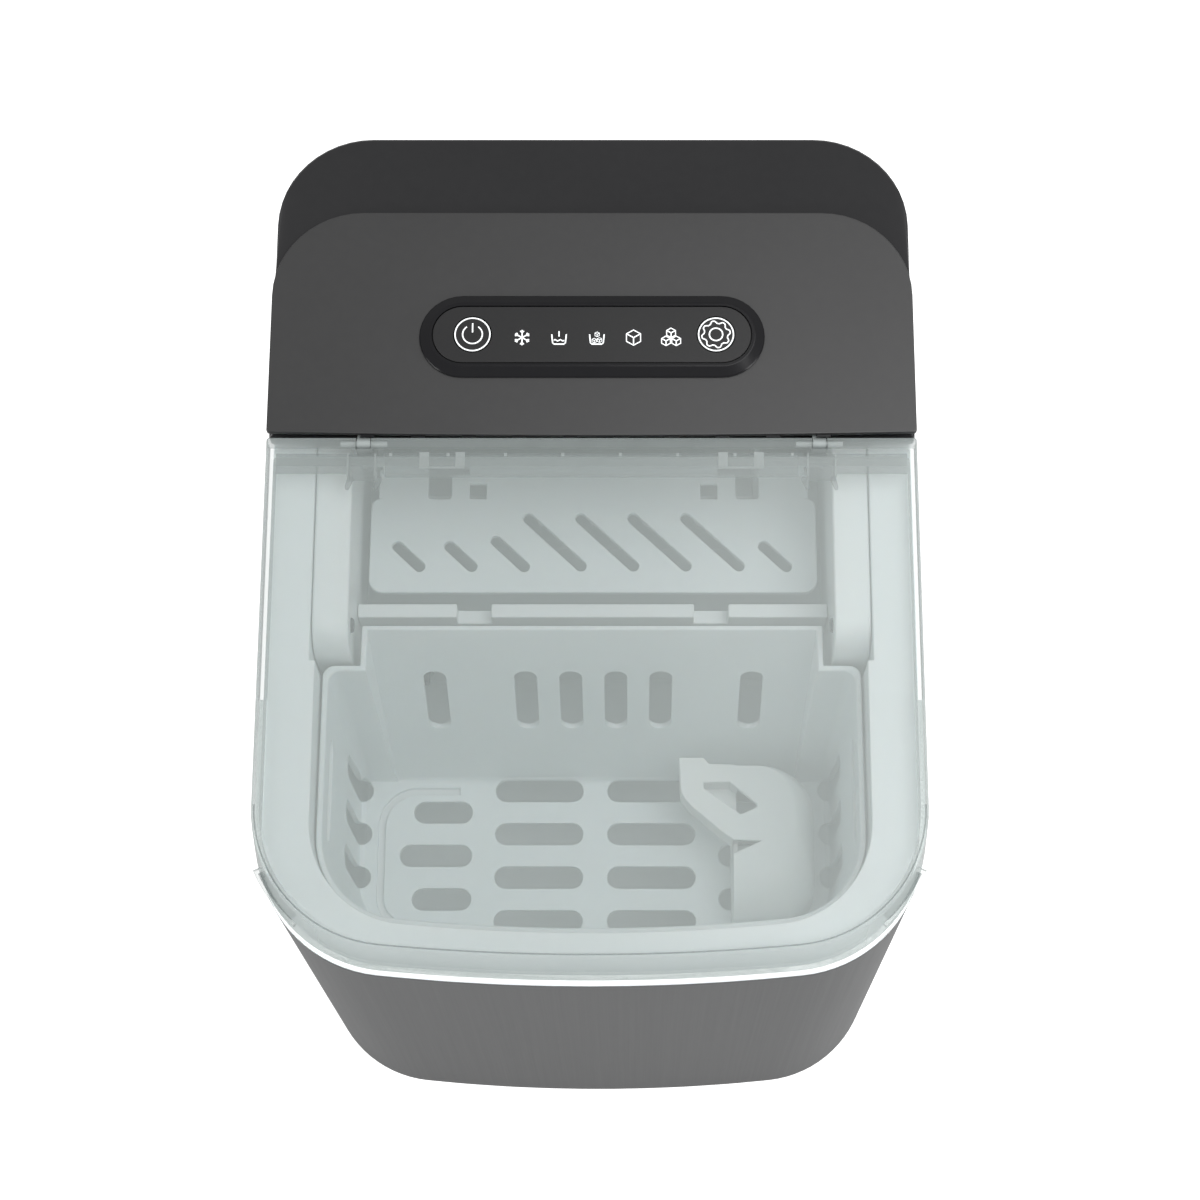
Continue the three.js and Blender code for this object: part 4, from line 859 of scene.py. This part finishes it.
def makeScoop():
    low, high = corners("ice_scoop")
    right, rear, front = high.x, -53, low.y
    bottom, crown = low.z, high.z

    def bowlRing(z, sideIn, frontIn):
        edge = scoop["left"]
        x1, y0 = right - sideIn, front + frontIn
        points = arc(x1 - 15, rear - 15, 15, 0, 90, 10)
        points += [(edge, rear), (edge, y0 + 0.1)]
        points += arc(x1 - 16, y0 + 16, 16, -90, 0, 10)
        return atHeight(points, z)

    rings = [bowlRing(bottom, 0, 0), bowlRing(crown - scoop["crownRound"], 0.6, 0.5)]
    for i in range(1, scoop["steps"] + 1):
        turn = math.radians(90 * i / scoop["steps"])
        up = math.sin(turn)
        roll = 1 - math.cos(turn)
        rings.append(bowlRing(crown - scoop["crownRound"] * (1 - up), 0.6 + 8 * roll,
                              0.5 + scoop["frontRoll"] * roll))
    bowl = loft("bowl", rings)
    holes = [loft("hollow", [bowlRing(bottom - 1, scoop["wall"], scoop["wall"]),
                             bowlRing(crown - 16, scoop["wall"] + 0.6, scoop["wall"] + 0.5),
                             bowlRing(crown - 3, scoop["wall"] + 7, scoop["wall"] + 16),
                             bowlRing(crown - 2.2, scoop["wall"] + 9, scoop["wall"] + 21)])]
    for vertex in holes[0].data.vertices:
        if vertex.co.x < (scoop["left"] + 0.5) * mm:
            vertex.co.x += scoop["wall"] * mm
        if vertex.co.y > (rear - 0.5) * mm:
            vertex.co.y -= scoop["wall"] * mm
    # Handle that runs off the rear left of the bowl, with a brace and a window.
    handle, window, valley = ([(x, y + rear) for x, y in scoop[key]]
                              for key in ("handle", "window", "valley"))
    grip = prism("grip", handle, crown - 12, crown)
    gap = prism("window", window, crown - 9, crown + 3)
    notch = prism("valley", valley, crown - 5, crown + 2)
    piece = shaped(bowl, joins=[grip], cuts=[holes[0]])
    shaped(piece, cuts=[gap, notch])
    piece.name = "ice_scoop_shell"
    softened(tidyFaces(piece), 0.5, 3, 45)
    return settle(piece, "scoopWhite", "scoop_white", "scoop", "ice_scoop")


makeScoop()
print("scoop")

pusher = {"front": -5, "half": 79.3, "pivotY": 44, "pivotZ": 206, "thick": 2.5,
          "barrel": 4, "bore": 2.3, "barrels": ((-75.4, -59.1), (-44.4, 44.4), (59.1, 75.4)),
          "holeX": 41.3, "slotWidth": 4, "slotTurn": -44,
          # Half of the rear edge, from the outside in, with the gap for the cam.
          "rearEdge": [(76.7, 30.5), (76.7, 44), (59.1, 44), (59.1, 31.2), (58.4, 30.5), (51.5, 30.5),
                       (50.8, 31.2), (50.8, 40), (44.4, 40), (44.4, 44)],
          "slots": [(-65.5, 8.6, 15), (-47, 8.6, 15), (-29.5, 9.6, 18), (-13.7, 14, 30),
                    (4.9, 14, 30), (23.5, 14, 30), (42.3, 14, 30), (64.5, 8.6, 15)]}


def makePusher():
    high = pusher["pivotZ"]
    low = high - pusher["thick"]
    half, front, pivotY = pusher["half"], pusher["front"], pusher["pivotY"]
    side = arc(half - 5, front + 5, 5, -90, 0, 8) + arc(half - 3, 27.5, 3, 0, 90, 5)
    side += pusher["rearEdge"]
    outline = side + [(-x, y) for x, y in reversed(side)]
    joins = [rod("barrel", "x", pusher["barrel"], x0, pivotY, high, x1 - x0, 28)
             for x0, x1 in pusher["barrels"]]
    joins.append(block("stiffener", -half + 6, half - 6, 21.5, 23, low - 2.5, low + 0.5))
    cuts = [rod("bore", "x", pusher["bore"], -90, pivotY, high, 180, 24)]
    cuts += [block("hole", x - 3, x + 3, 30.5, 36.5, low - 1, high + 1)
             for x in (-pusher["holeX"], pusher["holeX"])]
    cuts += [prism("slot", pill(x, y, length, pusher["slotWidth"], pusher["slotTurn"]), low - 6, high + 1)
             for x, y, length in pusher["slots"]]
    piece = shaped(prism("plate", outline, low, high), joins=joins, cuts=cuts)
    piece.name = "ice_push_plate"
    softened(tidyFaces(piece), 0.4, 3)
    return settle(piece, "basketWhite", "basket_white", "pusher", "ice_pusher")


makePusher()
print("pusher")

# Housing and cover, drawn flat over the lid plane.
seamY = 35.1
crest = {"y": caseRear - 31.8, "half": corners("control_cover")[1].x, "corner": 31}
coverPlan = {"half": crest["half"], "front": seamY, "rear": crest["y"], "corner": 1,
             "rearCorner": crest["corner"], "bow": 5000}
housingPlan = {**coverPlan, "rear": caseRear - 0.45, "rearCorner": 33}
housing = {"low": -12.4, "wall": 2.4, "tongue": 4.6, "pinBore": 1.25}
console = {"y": 71, "length": 119, "depth": 30, "rise": 2.5, "chamfer": 3.4, "lift": 0.3,
           "keyX": 41.85, "iconShift": 0.8, "keyRadius": 6.4}


def consolePill(inset, z):
    return atHeight(pill(0, console["y"], console["length"] - 2 * inset,
                         console["depth"] - 2 * inset, 0, 18), z)


def makeHousing():
    low, wall = housing["low"], housing["wall"]
    levels = [(housingPlan, 0, low), (housingPlan, 0, -7.6), (housingPlan, 0.25, -6.5),
              (housingPlan, 1.0, -5.75), (crestPlanMix(0.5), 0.6, -4.05), (coverPlan, 0.3, -2.42),
              (coverPlan, 0.8, -2.4)]
    shell = loft("shell", [atHeight(planOutline(plan, inset), z) for plan, inset, z in levels])
    hollow = loft("hollow", [atHeight(planOutline(housingPlan, wall), low - 1),
                             atHeight(planOutline(housingPlan, wall), -7),
                             atHeight(planOutline(coverPlan, wall), -4.8)])
    tongues, cuts = [], [hollow, loft("hole", [consolePill(4, -20), consolePill(4, 5)])]
    width, hingeY, hingeZ = housing["tongue"], top["hingeY"], -top["hingeDrop"]
    for x in (-top["tongueX"], top["tongueX"]):
        start = x - width / 2
        tongue = shaped(rod("tongue", "x", 2, start, hingeY, hingeZ, width, 28),
                        joins=[block("arm", start, start + width, hingeY, seamY + 1, -4, -2.4)],
                        cuts=[rod("bore", "x", housing["pinBore"], x - 10, hingeY, hingeZ, 20, 24)])
        tongues.append(tidyFaces(tongue))
    settle(leanPiece(merged("hinge_tongues", tongues)), "hingePale", "basket_white", "case", angle=28)
    piece = shaped(shell, cuts=cuts)
    piece.name = "rear_housing"
    tidyFaces(piece, 0.2)
    return settle(leanPiece(piece), "glossBlack", "gloss_black", "case", "top_housing", angle=28)


def crestPlanMix(share):
    return {key: coverPlan[key] * share + housingPlan[key] * (1 - share) for key in coverPlan}


def makeCover():
    levels = [(0.25, -2.1), (0, -1.9), (0, -0.5), (0.15, -0.18), (0.5, 0), (1.2, 0)]
    plate = loft("plate", [atHeight(planOutline(coverPlan, inset), z) for inset, z in levels])
    piece = shaped(plate, cuts=[loft("hole", [consolePill(4, -20), consolePill(4, 5)])])
    piece.name = "satin_cover"
    tidyFaces(piece, 0.2)
    return settle(leanPiece(piece), "satinCover", "satin_black", "case", "control_cover", angle=30)


def makeConsole():
    rise, lift, chamfer = console["rise"], console["lift"], console["chamfer"]
    body = loft("body", [consolePill(4.5, -3.1), consolePill(4.5, lift), consolePill(0.3, lift),
                         consolePill(0, lift + 0.25), consolePill(0.35, lift + 0.7),
                         consolePill(chamfer - 0.25, rise - 0.12), consolePill(chamfer + 0.1, rise)])
    seat = loft("seat", [consolePill(chamfer + 1, rise - 1.9), consolePill(chamfer + 1, rise + 1)])
    well = loft("well", [consolePill(chamfer + 3.5, -10), consolePill(chamfer + 3.5, rise + 1)])
    piece = shaped(body, cuts=[seat, well])
    piece.name = "console_frame"
    settle(leanPiece(piece), "panelFilm", "gloss_black", "case", "console_bezel", angle=25)
    top = rise - 0.1
    panel = loft("panel", [consolePill(chamfer + 1.3, rise - 1.6), consolePill(chamfer + 1.3, top - 0.15),
                           consolePill(chamfer + 1.45, top)])
    keys = []
    holes = []
    for x in (-console["keyX"], console["keyX"]):
        middle = x + console["iconShift"]
        holes.append(rod("hole", "z", console["keyRadius"] + 0.3, middle, console["y"], -10, 20, 64))
        rings = [atHeight([(middle + a, console["y"] + b) for a, b in
                           arc(0, 0, radius, 0, 360, 64)[:-1]], z)
                 for radius, z in ((2.2, top - 3.5), (2.2, top - 1.6), (console["keyRadius"], top - 1.6),
                                   (console["keyRadius"], top - 0.2), (console["keyRadius"] - 0.2, top))]
        keys.append(loft("key", rings))
    piece = shaped(panel, cuts=holes)
    piece.name = "touch_panel"
    settle(leanPiece(piece), "touchGlass", "panel_black", "case", "control_panel", angle=25)
    for key, name, node, body in zip(keys, ("power_key_cap", "select_key_cap"),
                                     ("power_button", "select_button"), ("power_key", "select_key")):
        key.name = name
        settle(leanPiece(key), "touchGlass", "panel_black", body, node, angle=25)


makeHousing()
makeCover()
makeConsole()
print("housing, cover and console")

icons = {"z": console["rise"] - 0.1, "thick": 0.09, "line": 0.45, "y": 69.8, "x": {
    "snow": -24.0, "lowWater": -11.3, "fullIce": 1.7, "cube": 14.3, "cubes": 27.2}}


def iconStroke(points, closed=False, width=None):
    line = width or icons["line"]
    return strip("stroke", points, line, icons["z"] - 0.03, icons["z"] + icons["thick"], closed)


def ringAt(x, y, radius, steps=40):
    return iconStroke(arc(x, y, radius, 0, 360, steps)[:-1], True)


def cubeStrokes(x, y, size):
    hexagon = [(x + size * math.cos(math.radians(a)), y + size * math.sin(math.radians(a)))
               for a in range(30, 390, 60)]
    line = min(0.4, 0.22 * size)
    strokes = [iconStroke(hexagon, True, line)]
    for a in (30, 150, 270):
        strokes.append(iconStroke([(x, y), (x + size * math.cos(math.radians(a)),
                                            y + size * math.sin(math.radians(a)))], False, line))
    return strokes


def cupStrokes(x, y, level):
    cup = [(x - 2.5, y + 1.2), (x - 2.2, y - 1.9), (x - 1.7, y - 2.4), (x + 1.7, y - 2.4),
           (x + 2.2, y - 1.9), (x + 2.5, y + 1.2)]
    strokes = [iconStroke(cup)]
    if level == "low":
        strokes.append(iconStroke([(x - 1.8 + i * 0.45, y - 1.0 + 0.28 * math.sin(i * 1.57))
                                   for i in range(9)], False, 0.4))
        strokes.append(iconStroke([(x, y + 0.4), (x, y + 2.4)], False, 0.4))
    else:
        for dx, dy in ((-0.9, -1.1), (0.9, -0.9), (0.1, 1.2)):
            strokes += cubeStrokes(x + dx, y + dy, 0.9)
    return strokes


def makeIcons():
    y, at = icons["y"], icons["x"]
    strokes = []
    for turn in range(0, 180, 60):
        c, s = math.cos(math.radians(turn + 90)), math.sin(math.radians(turn + 90))
        strokes.append(iconStroke([(at["snow"] - 2.8 * c, y - 2.8 * s), (at["snow"] + 2.8 * c, y + 2.8 * s)],
                                  False, 0.42))
        for way in (-1, 1):
            for lean in (-40, 40):
                a = math.radians(turn + 90 + lean)
                root = (at["snow"] + way * 1.7 * c, y + way * 1.7 * s)
                tip = (root[0] + way * 1.0 * math.cos(a), root[1] + way * 1.0 * math.sin(a))
                strokes.append(iconStroke([root, tip], False, 0.38))
    strokes += cupStrokes(at["lowWater"], y, "low")
    strokes += cupStrokes(at["fullIce"], y, "full")
    strokes += cubeStrokes(at["cube"], y, 2.8)
    for dx, dy in ((-1.75, -1.2), (1.75, -1.2), (0, 1.75)):
        strokes += cubeStrokes(at["cubes"] + dx, y + dy, 1.75)
    piece = leanPiece(merged("panel_icons", strokes))
    settle(piece, "iconWhite", "panel_black", "case")
    power = -console["keyX"] + console["iconShift"]
    centre = console["y"]
    strokes = [ringAt(power, centre, 6.0), iconStroke(arc(power, centre, 3.4, 125, 415, 22)),
               iconStroke([(power, centre + 0.7), (power, centre + 4.1)])]
    settle(leanPiece(merged("power_icon", strokes)), "iconWhite", "panel_black", "power_key")
    pick = console["keyX"] + console["iconShift"]
    teeth = []
    for i in range(64):
        a = math.radians(i * 5.625)
        radius = 4.5 + 0.45 * math.tanh(2.5 * math.sin(8 * a))
        teeth.append((pick + radius * math.cos(a), centre + radius * math.sin(a)))
    strokes = [ringAt(pick, centre, 6.0), iconStroke(teeth, True, 0.42), ringAt(pick, centre, 2.3, 28)]
    settle(leanPiece(merged("select_icon", strokes)), "iconWhite", "panel_black", "select_key")


makeIcons()
print("icons")

lid = {"half": 111.0, "front": caseFront + 6.6, "flare": 6.4, "split": -11.1, "rimEnd": -55,
       "wall": 2.4, "band": 3.0,
       "skirt": 12.2, "corner": 47.3, "bow": 728, "tongueGap": 5.2,
       "tab": {"y": 50.3, "sweep": 26, "radii": (46.5, 51), "low": -9.4, "high": -7},
       "pocket": {"inset": 2, "radii": (47.5, 49.9), "low": -6.95, "high": -6.7},
       "edgeShadeLine": {"inset": 1.1, "width": 0.55, "low": -0.62, "high": -0.5}}


def lidRing(inset, lean, z, rear):
    plan = {"half": lid["half"], "front": lid["front"] - lean, "rear": rear + inset,
            "corner": lid["corner"], "rearCorner": 0.6 + inset, "bow": lid["bow"]}
    return atHeight(planOutline(plan, inset), z)


def makeLid():
    rear = seamY - 0.5
    roll = top["hingeY"]
    skirt, wall, band = lid["skirt"], lid["wall"], lid["band"]
    split = lid["split"]
    lean = 0.25 + (lid["flare"] - 0.25) * (-1.9 - split) / (skirt - 2.2)
    hem = [lidRing(0.3, lid["flare"], -skirt, rear), lidRing(0, lid["flare"], -skirt + 0.3, rear)]
    outer = loft("outer", [
        *hem, lidRing(0, 0.25, -1.9, rear), lidRing(0.2, 0, -1.2, rear - 0.6), lidRing(0.8, 0, -0.62, roll),
        lidRing(band - 0.4, 0, -0.06, roll), lidRing(band, 0, 0, roll)])
    innerRear = roll - 2 * top["hingeDrop"]
    inner = loft("inner", [
        lidRing(wall, lid["flare"] + 0.6, -skirt - 1, innerRear), lidRing(wall, 0.2, -3.8, innerRear),
        lidRing(wall + 1, 0, -2.9, innerRear), lidRing(band + wall, 0, -wall, innerRear)])
    joins = [rod("roll", "x", top["hingeDrop"], -lid["half"] + 0.6, roll, -top["hingeDrop"],
                 2 * lid["half"] - 1.2, 32)]
    cornerX = lid["half"] - lid["corner"]
    tab, pocket = lid["tab"], lid["pocket"]
    tabY = lid["front"] + tab["y"]

    def crescent(name, shape, x, start, end):
        inside, outside = shape["radii"]
        points = arc(x, tabY, outside, start, end, 12) + arc(x, tabY, inside, end, start, 12)
        return prism(name, points, shape["low"], shape["high"])

    pockets = []
    for side, start in ((-1, -156), (1, -50)):
        end = start + tab["sweep"]
        joins.append(crescent("tab", tab, side * cornerX, start, end))
        pockets.append(crescent("pocket", pocket, side * cornerX, start + pocket["inset"],
                                end - pocket["inset"]))
    # The lid_rim band is a painted highlight: near-white and faintly glowing, for the lit bottom edge of the clear
    # skirt.
    rim = loft("lid_rim", [*hem, lidRing(0, lean, split, rear)])
    behind = block("behind", -150, 150, lid["rimEnd"], 100, -30, 10)
    rim = shaped(rim, cuts=[behind, loft("inner", [
        lidRing(wall, lid["flare"] + 0.6, -skirt - 1, innerRear),
        lidRing(wall, lean + 0.6, split + 0.5, innerRear)])])
    rim.name = "lid_rim"
    settle(leanPiece(tidyFaces(rim)), "paintedRimHighlight", "clear_lid", "lid", angle=25)
    cuts = [inner, block("front", -150, 150, -200, lid["rimEnd"] - 0.02, -30, split)]
    for x in (-top["tongueX"], top["tongueX"]):
        cuts.append(block("gap", x - lid["tongueGap"] / 2, x + lid["tongueGap"] / 2, roll - 2.4,
                          seamY + 1, -skirt - 2, 1))
    shell = shaped(outer, joins=joins, cuts=cuts)
    shell.name = "clear_lid_shell"
    tidyFaces(shell, 0.2)
    settle(leanPiece(shell), "clearLid", "clear_lid", "lid", "lid", angle=25)
    # Painted shade: a dark strip where the flat top turns down stands in for the dark line the clear plastic shows
    # there; thin grey sheets mark the pockets in the finger tabs.
    plan = {"half": lid["half"], "front": lid["front"], "rear": rear, "corner": lid["corner"],
            "rearCorner": 0.6, "bow": lid["bow"]}
    edge = lid["edgeShadeLine"]
    outline = planOutline(plan, edge["inset"])
    rearPoints = [i for i, (x, y) in enumerate(outline) if y > 0]
    path = outline[rearPoints[-1] + 1:] + outline[:rearPoints[0]]
    line = strip("line", path, edge["width"], edge["low"], edge["high"])
    settle(leanPiece(merged("lid_edge_lines", [line, *pockets])), "hingeGrey", "clear_lid", "lid")


# Ribs, blocks and hooks moulded under the lid's rear edge.
hingeRibs = {
    "low": -9.5, "high": -3.2, "barFront": 21.4, "barRear": 29.6, "barHalf": 70.5, "sheet": 1.2,
    "band": (83.6, 107.6, 22.6, 29.6), "square": (74.2, 82.8, 21.9, 29.4),
    "walls": ((82.9, 83.5), (73.5, 74.1)), "hooks": (71.6, 81.4), "arms": ((43.2, 46.4), (55.4, 58.7)),
    "tickCount": 8, "tickFirst": -68.5, "tickPitch": 19.57,
}


def makeHingeRibs():
    low, high = hingeRibs["low"], hingeRibs["high"]
    dark, pale = [], []
    under, front, back = high - hingeRibs["sheet"], hingeRibs["barFront"], hingeRibs["barRear"]
    dark.append(block("bar", -hingeRibs["barHalf"], hingeRibs["barHalf"], front, back, under, high))
    for side in (-1, 1):
        def across(a, b):
            return sorted((side * a, side * b))
        for name, bottom in (("band", under), ("square", low)):
            x0, x1, y0, y1 = hingeRibs[name]
            dark.append(block(name, *across(x0, x1), y0, y1, bottom, high))
        pale += [block("wall", *across(a, b), front + 0.1, back, low, high + 0.3)
                 for a, b in hingeRibs["walls"]]
        for x in hingeRibs["hooks"]:
            shape = [(x, 21.4), (x + 1.6, 21.4), (x + 2.6, 17.7), (x + 1.7, 17.7)]
            shape = [(side * px, y) for px, y in shape]
            dark.append(prism("hook", shape, high - 4, high))
        inner, outer = hingeRibs["arms"][0][0], hingeRibs["arms"][1][1]
        pale += [block("arm", *across(a, b), 24.8, 29.9, high + 0.1, high + 0.8)
                 for a, b in hingeRibs["arms"]]
        pale.append(block("foot", *across(inner, outer), 24.0, 24.7, high + 0.1, high + 0.8))
    tick = block("tick", -0.55, 0.55, -0.6, 0.6, high, high + 0.7)
    ticks = row("ticks", tick, hingeRibs["tickCount"], (hingeRibs["tickFirst"], 29.0, 0),
                (hingeRibs["tickPitch"], 0, 0), "hingePale")
    settle(leanPiece(merged("hinge_ribs_dark", dark)), "hingeGrey", "clear_lid", "lid")
    settle(leanPiece(merged("hinge_ribs_pale", [*pale, ticks])), "hingePale", "clear_lid", "lid")


makeLid()
makeHingeRibs()

# Dark clips along the joint between lid and cover.
clips = {"count": 10, "first": -76.5, "pitch": 17.3, "width": 4.8}


def makeClips():
    unit = block("clip", -clips["width"] / 2, clips["width"] / 2, seamY - 0.25, seamY + 1.2, -1.9, -0.9)
    piece = row("joint_clips", unit, clips["count"], (clips["first"], 0, 0), (clips["pitch"], 0, 0),
                "panelFilm")
    return settle(leanPiece(piece), "panelFilm", "gloss_black", "case")


makeClips()
print("lid")

foot = {"profile": [(0, 0.6), (4.5, 0.6), (4.8, 0), (6.4, 0), (6.7, 0.7), (7.3, 0.7), (7.6, 0), (9.6, 0),
                    (10.6, 0.5), (11, 1.4), (11, 3.8), (10.7, 4.4), (9.2, 5.7), (0, 5.7)]}


def lathe(name, profile, sides=48):
    rings = []
    verts, faces = [], []
    for radius, z in profile:
        rings.append(len(verts))
        if radius < 1e-6:
            verts.append((0, 0, z))
        else:
            verts += atHeight(arc(0, 0, radius, 0, 360, sides)[:-1], z)
    for index in range(len(profile) - 1):
        a, b = rings[index], rings[index + 1]
        for i in range(sides):
            j = (i + 1) % sides
            lower = (a,) if profile[index][0] < 1e-6 else (a + i, a + j)
            upper = (b,) if profile[index + 1][0] < 1e-6 else (b + j, b + i)
            faces.append(lower + upper)
    return meshPiece(name, verts, faces)


def makeFeet():
    rows = []
    for side in ("left", "right"):
        lowFront, highFront = corners("foot_front_" + side)
        lowRear, highRear = corners("foot_rear_" + side)
        start = (lowFront + highFront) / 2
        end = (lowRear + highRear) / 2
        unit = lathe("foot", foot["profile"])
        rows.append(row("feet", unit, 2, (start.x, start.y, 0), (0, end.y - start.y, 0), "blackRubber"))
    nodes = [f"foot_{end}_{side}" for end in ("front", "rear") for side in ("left", "right")]
    return settle(merged("rubber_feet", rows), "blackRubber", "rubber", "case", *nodes)


makeFeet()

condenser = {"fins": 38, "fin": 0.5, "tube": 3.5}


def makeCondenser():
    low, high = corners("condenser")
    inset = 3
    finLow, finHigh = low.z + inset, high.z - inset
    pitch = (finHigh - finLow - condenser["fin"]) / (condenser["fins"] - 1)
    unit = block("fin", low.x, high.x, low.y, high.y, 0, condenser["fin"])
    fins = row("fins", unit, condenser["fins"], (0, 0, finLow), (0, 0, pitch), "finAluminium")
    middle = (low.x + high.x) / 2
    tubes = []
    for i in range(3):
        y = low.y + 10 + i * (high.y - low.y - 20) / 2
        tubes.append(rod("tube", "z", condenser["tube"], middle, y, low.z, high.z - low.z, 20))
    piece = merged("condenser_fins", [fins, *tubes])
    return settle(piece, "finAluminium", "aluminium", "case", "condenser")


makeCondenser()
print("feet and condenser")

# Everything else keeps its CAD shape, with merged faces and eased edges.
carried = {
    ("panPlastic", "pan_black", 0.4): ["base_pan", "water_pump"],
    ("whiteFoam", "foam", 0.5): ["insulation_jacket"],
    ("basketWhite", "basket_white", 0.4): ["water_tray"],
    ("zincPlate", "zinc", 0.4): ["tray_motor", "fan_motor", "hot_gas_valve"],
    ("zincPlate", "zinc", 0.2): ["pusher_shaft"],
    ("nickelPlate", "nickel", 0.3): ["evaporator"],
    ("blackEnamel", "machine_black", 0.5): ["compressor"],
    ("blackEnamel", "machine_black", 0.3): ["fan_shroud"],
    ("glossBlack", "gloss_black", 0.2): ["fan_blades"],
    ("glossBlack", "gloss_black", 0.3): ["drain_spout"],
    ("copperTube", "copper", 0): ["suction_line", "discharge_line", "filter_drier"],
    ("milkyHose", "hose", 0): ["pump_hose", "drain_hose"],
    ("blackRubber", "rubber", 0): ["intake_elbow"],
    ("blackRubber", "rubber", 0.4): ["drain_plug", "cord_gland"]
    + [f"compressor_mount_{i}" for i in (1, 2, 3)],
    ("circuitGreen", "circuit", 0.2): ["main_board", "display_board"],
    ("hingePale", "basket_white", 0.15): ["lid_pin_left", "lid_pin_right"],
}


def carryOver(node, material, slot, ease):
    piece = bpy.data.objects.new(node + "_part", cad[node].data.copy())
    piece.data.transform(cad[node].matrix_world)
    scene.collection.objects.link(piece)
    tidyFaces(piece, 1.0)
    if ease:
        softened(piece, ease, 2, 40)
    return settle(piece, material, slot, bodyOf[node], node, angle=40)


for (material, slot, ease), nodes in carried.items():
    for node in nodes:
        carryOver(node, material, slot, ease)
print("inner parts carried over")

# Floor, light and camera.
studio = {"floor": 3.0, "sky": 0.75, "glow": 1.0, "bounce": 0.25, "lamps": {
    "key": ((0.5, 0.0, 1.5), 14, 0.95), "left": ((-1.0, -0.45, 0.4), 8, 0.6),
    "right": ((1.0, -0.45, 0.4), 8, 0.5)}}


def makeStudio():
    size = studio["floor"] / mm
    floor = meshPiece("studio_floor", [(-size, -size, -0.4), (size, -size, -0.4), (size, size, -0.4),
                                       (-size, size, -0.4)], [(0, 1, 2, 3)])
    paper = finish("studioPaper", mouldedSkin, (0.1, 0.05), {"Specular IOR Level": 0.1},
                   color=(0.40, 0.40, 0.40), shadeColor=(0.38, 0.38, 0.38),
                   roughness=0.9, roughnessSpread=0.05, dust=0.0)
    tree = paper.node_tree
    surface = tree.nodes["Principled BSDF"].inputs
    surface["Emission Color"].default_value = (1, 1, 1, 1)
    seen = addNode(tree, "ShaderNodeLightPath").outputs["Is Camera Ray"]
    glow = addNode(tree, "ShaderNodeMapRange", Value=seen, To_Min=studio["bounce"],
                   To_Max=studio["glow"])
    tree.links.new(glow.outputs[0], surface["Emission Strength"])
    floor.data.materials.append(paper)
    for name, (place, power, width) in studio["lamps"].items():
        data = bpy.data.lights.new(name + "_light", "AREA")
        data.energy = power
        data.size = width
        lamp = bpy.data.objects.new(name + "_light", data)
        lamp.location = place
        lamp.rotation_euler = (Vector((0, 0, 0.12)) - Vector(place)).to_track_quat("-Z", "Y").to_euler()
        scene.collection.objects.link(lamp)
    world = bpy.data.worlds.new("studio")
    world.use_nodes = True
    scene.world = world
    sky = world.node_tree.nodes["Background"]
    sky.inputs[0].default_value = (1, 1, 1, 1)
    rays = addNode(world.node_tree, "ShaderNodeLightPath").outputs["Is Camera Ray"]
    bright = addNode(world.node_tree, "ShaderNodeMapRange", Value=rays, To_Min=studio["sky"], To_Max=1.0)
    world.node_tree.links.new(bright.outputs[0], sky.inputs[1])
    scene.view_settings.view_transform = "Standard"


makeStudio()

cameraSet = {"place": (0.01362, -0.30582, 1.06179), "tip": 19.2, "lens": 77.08, "shift": -0.0263}
lens = bpy.data.cameras.new("camera")
lens.lens = cameraSet["lens"]
lens.shift_x = cameraSet["shift"]
camera = bpy.data.objects.new("camera", lens)
camera.location = cameraSet["place"]
camera.rotation_euler = (math.radians(cameraSet["tip"]), 0, 0)
scene.collection.objects.link(camera)
scene.camera = camera
print("studio ready")
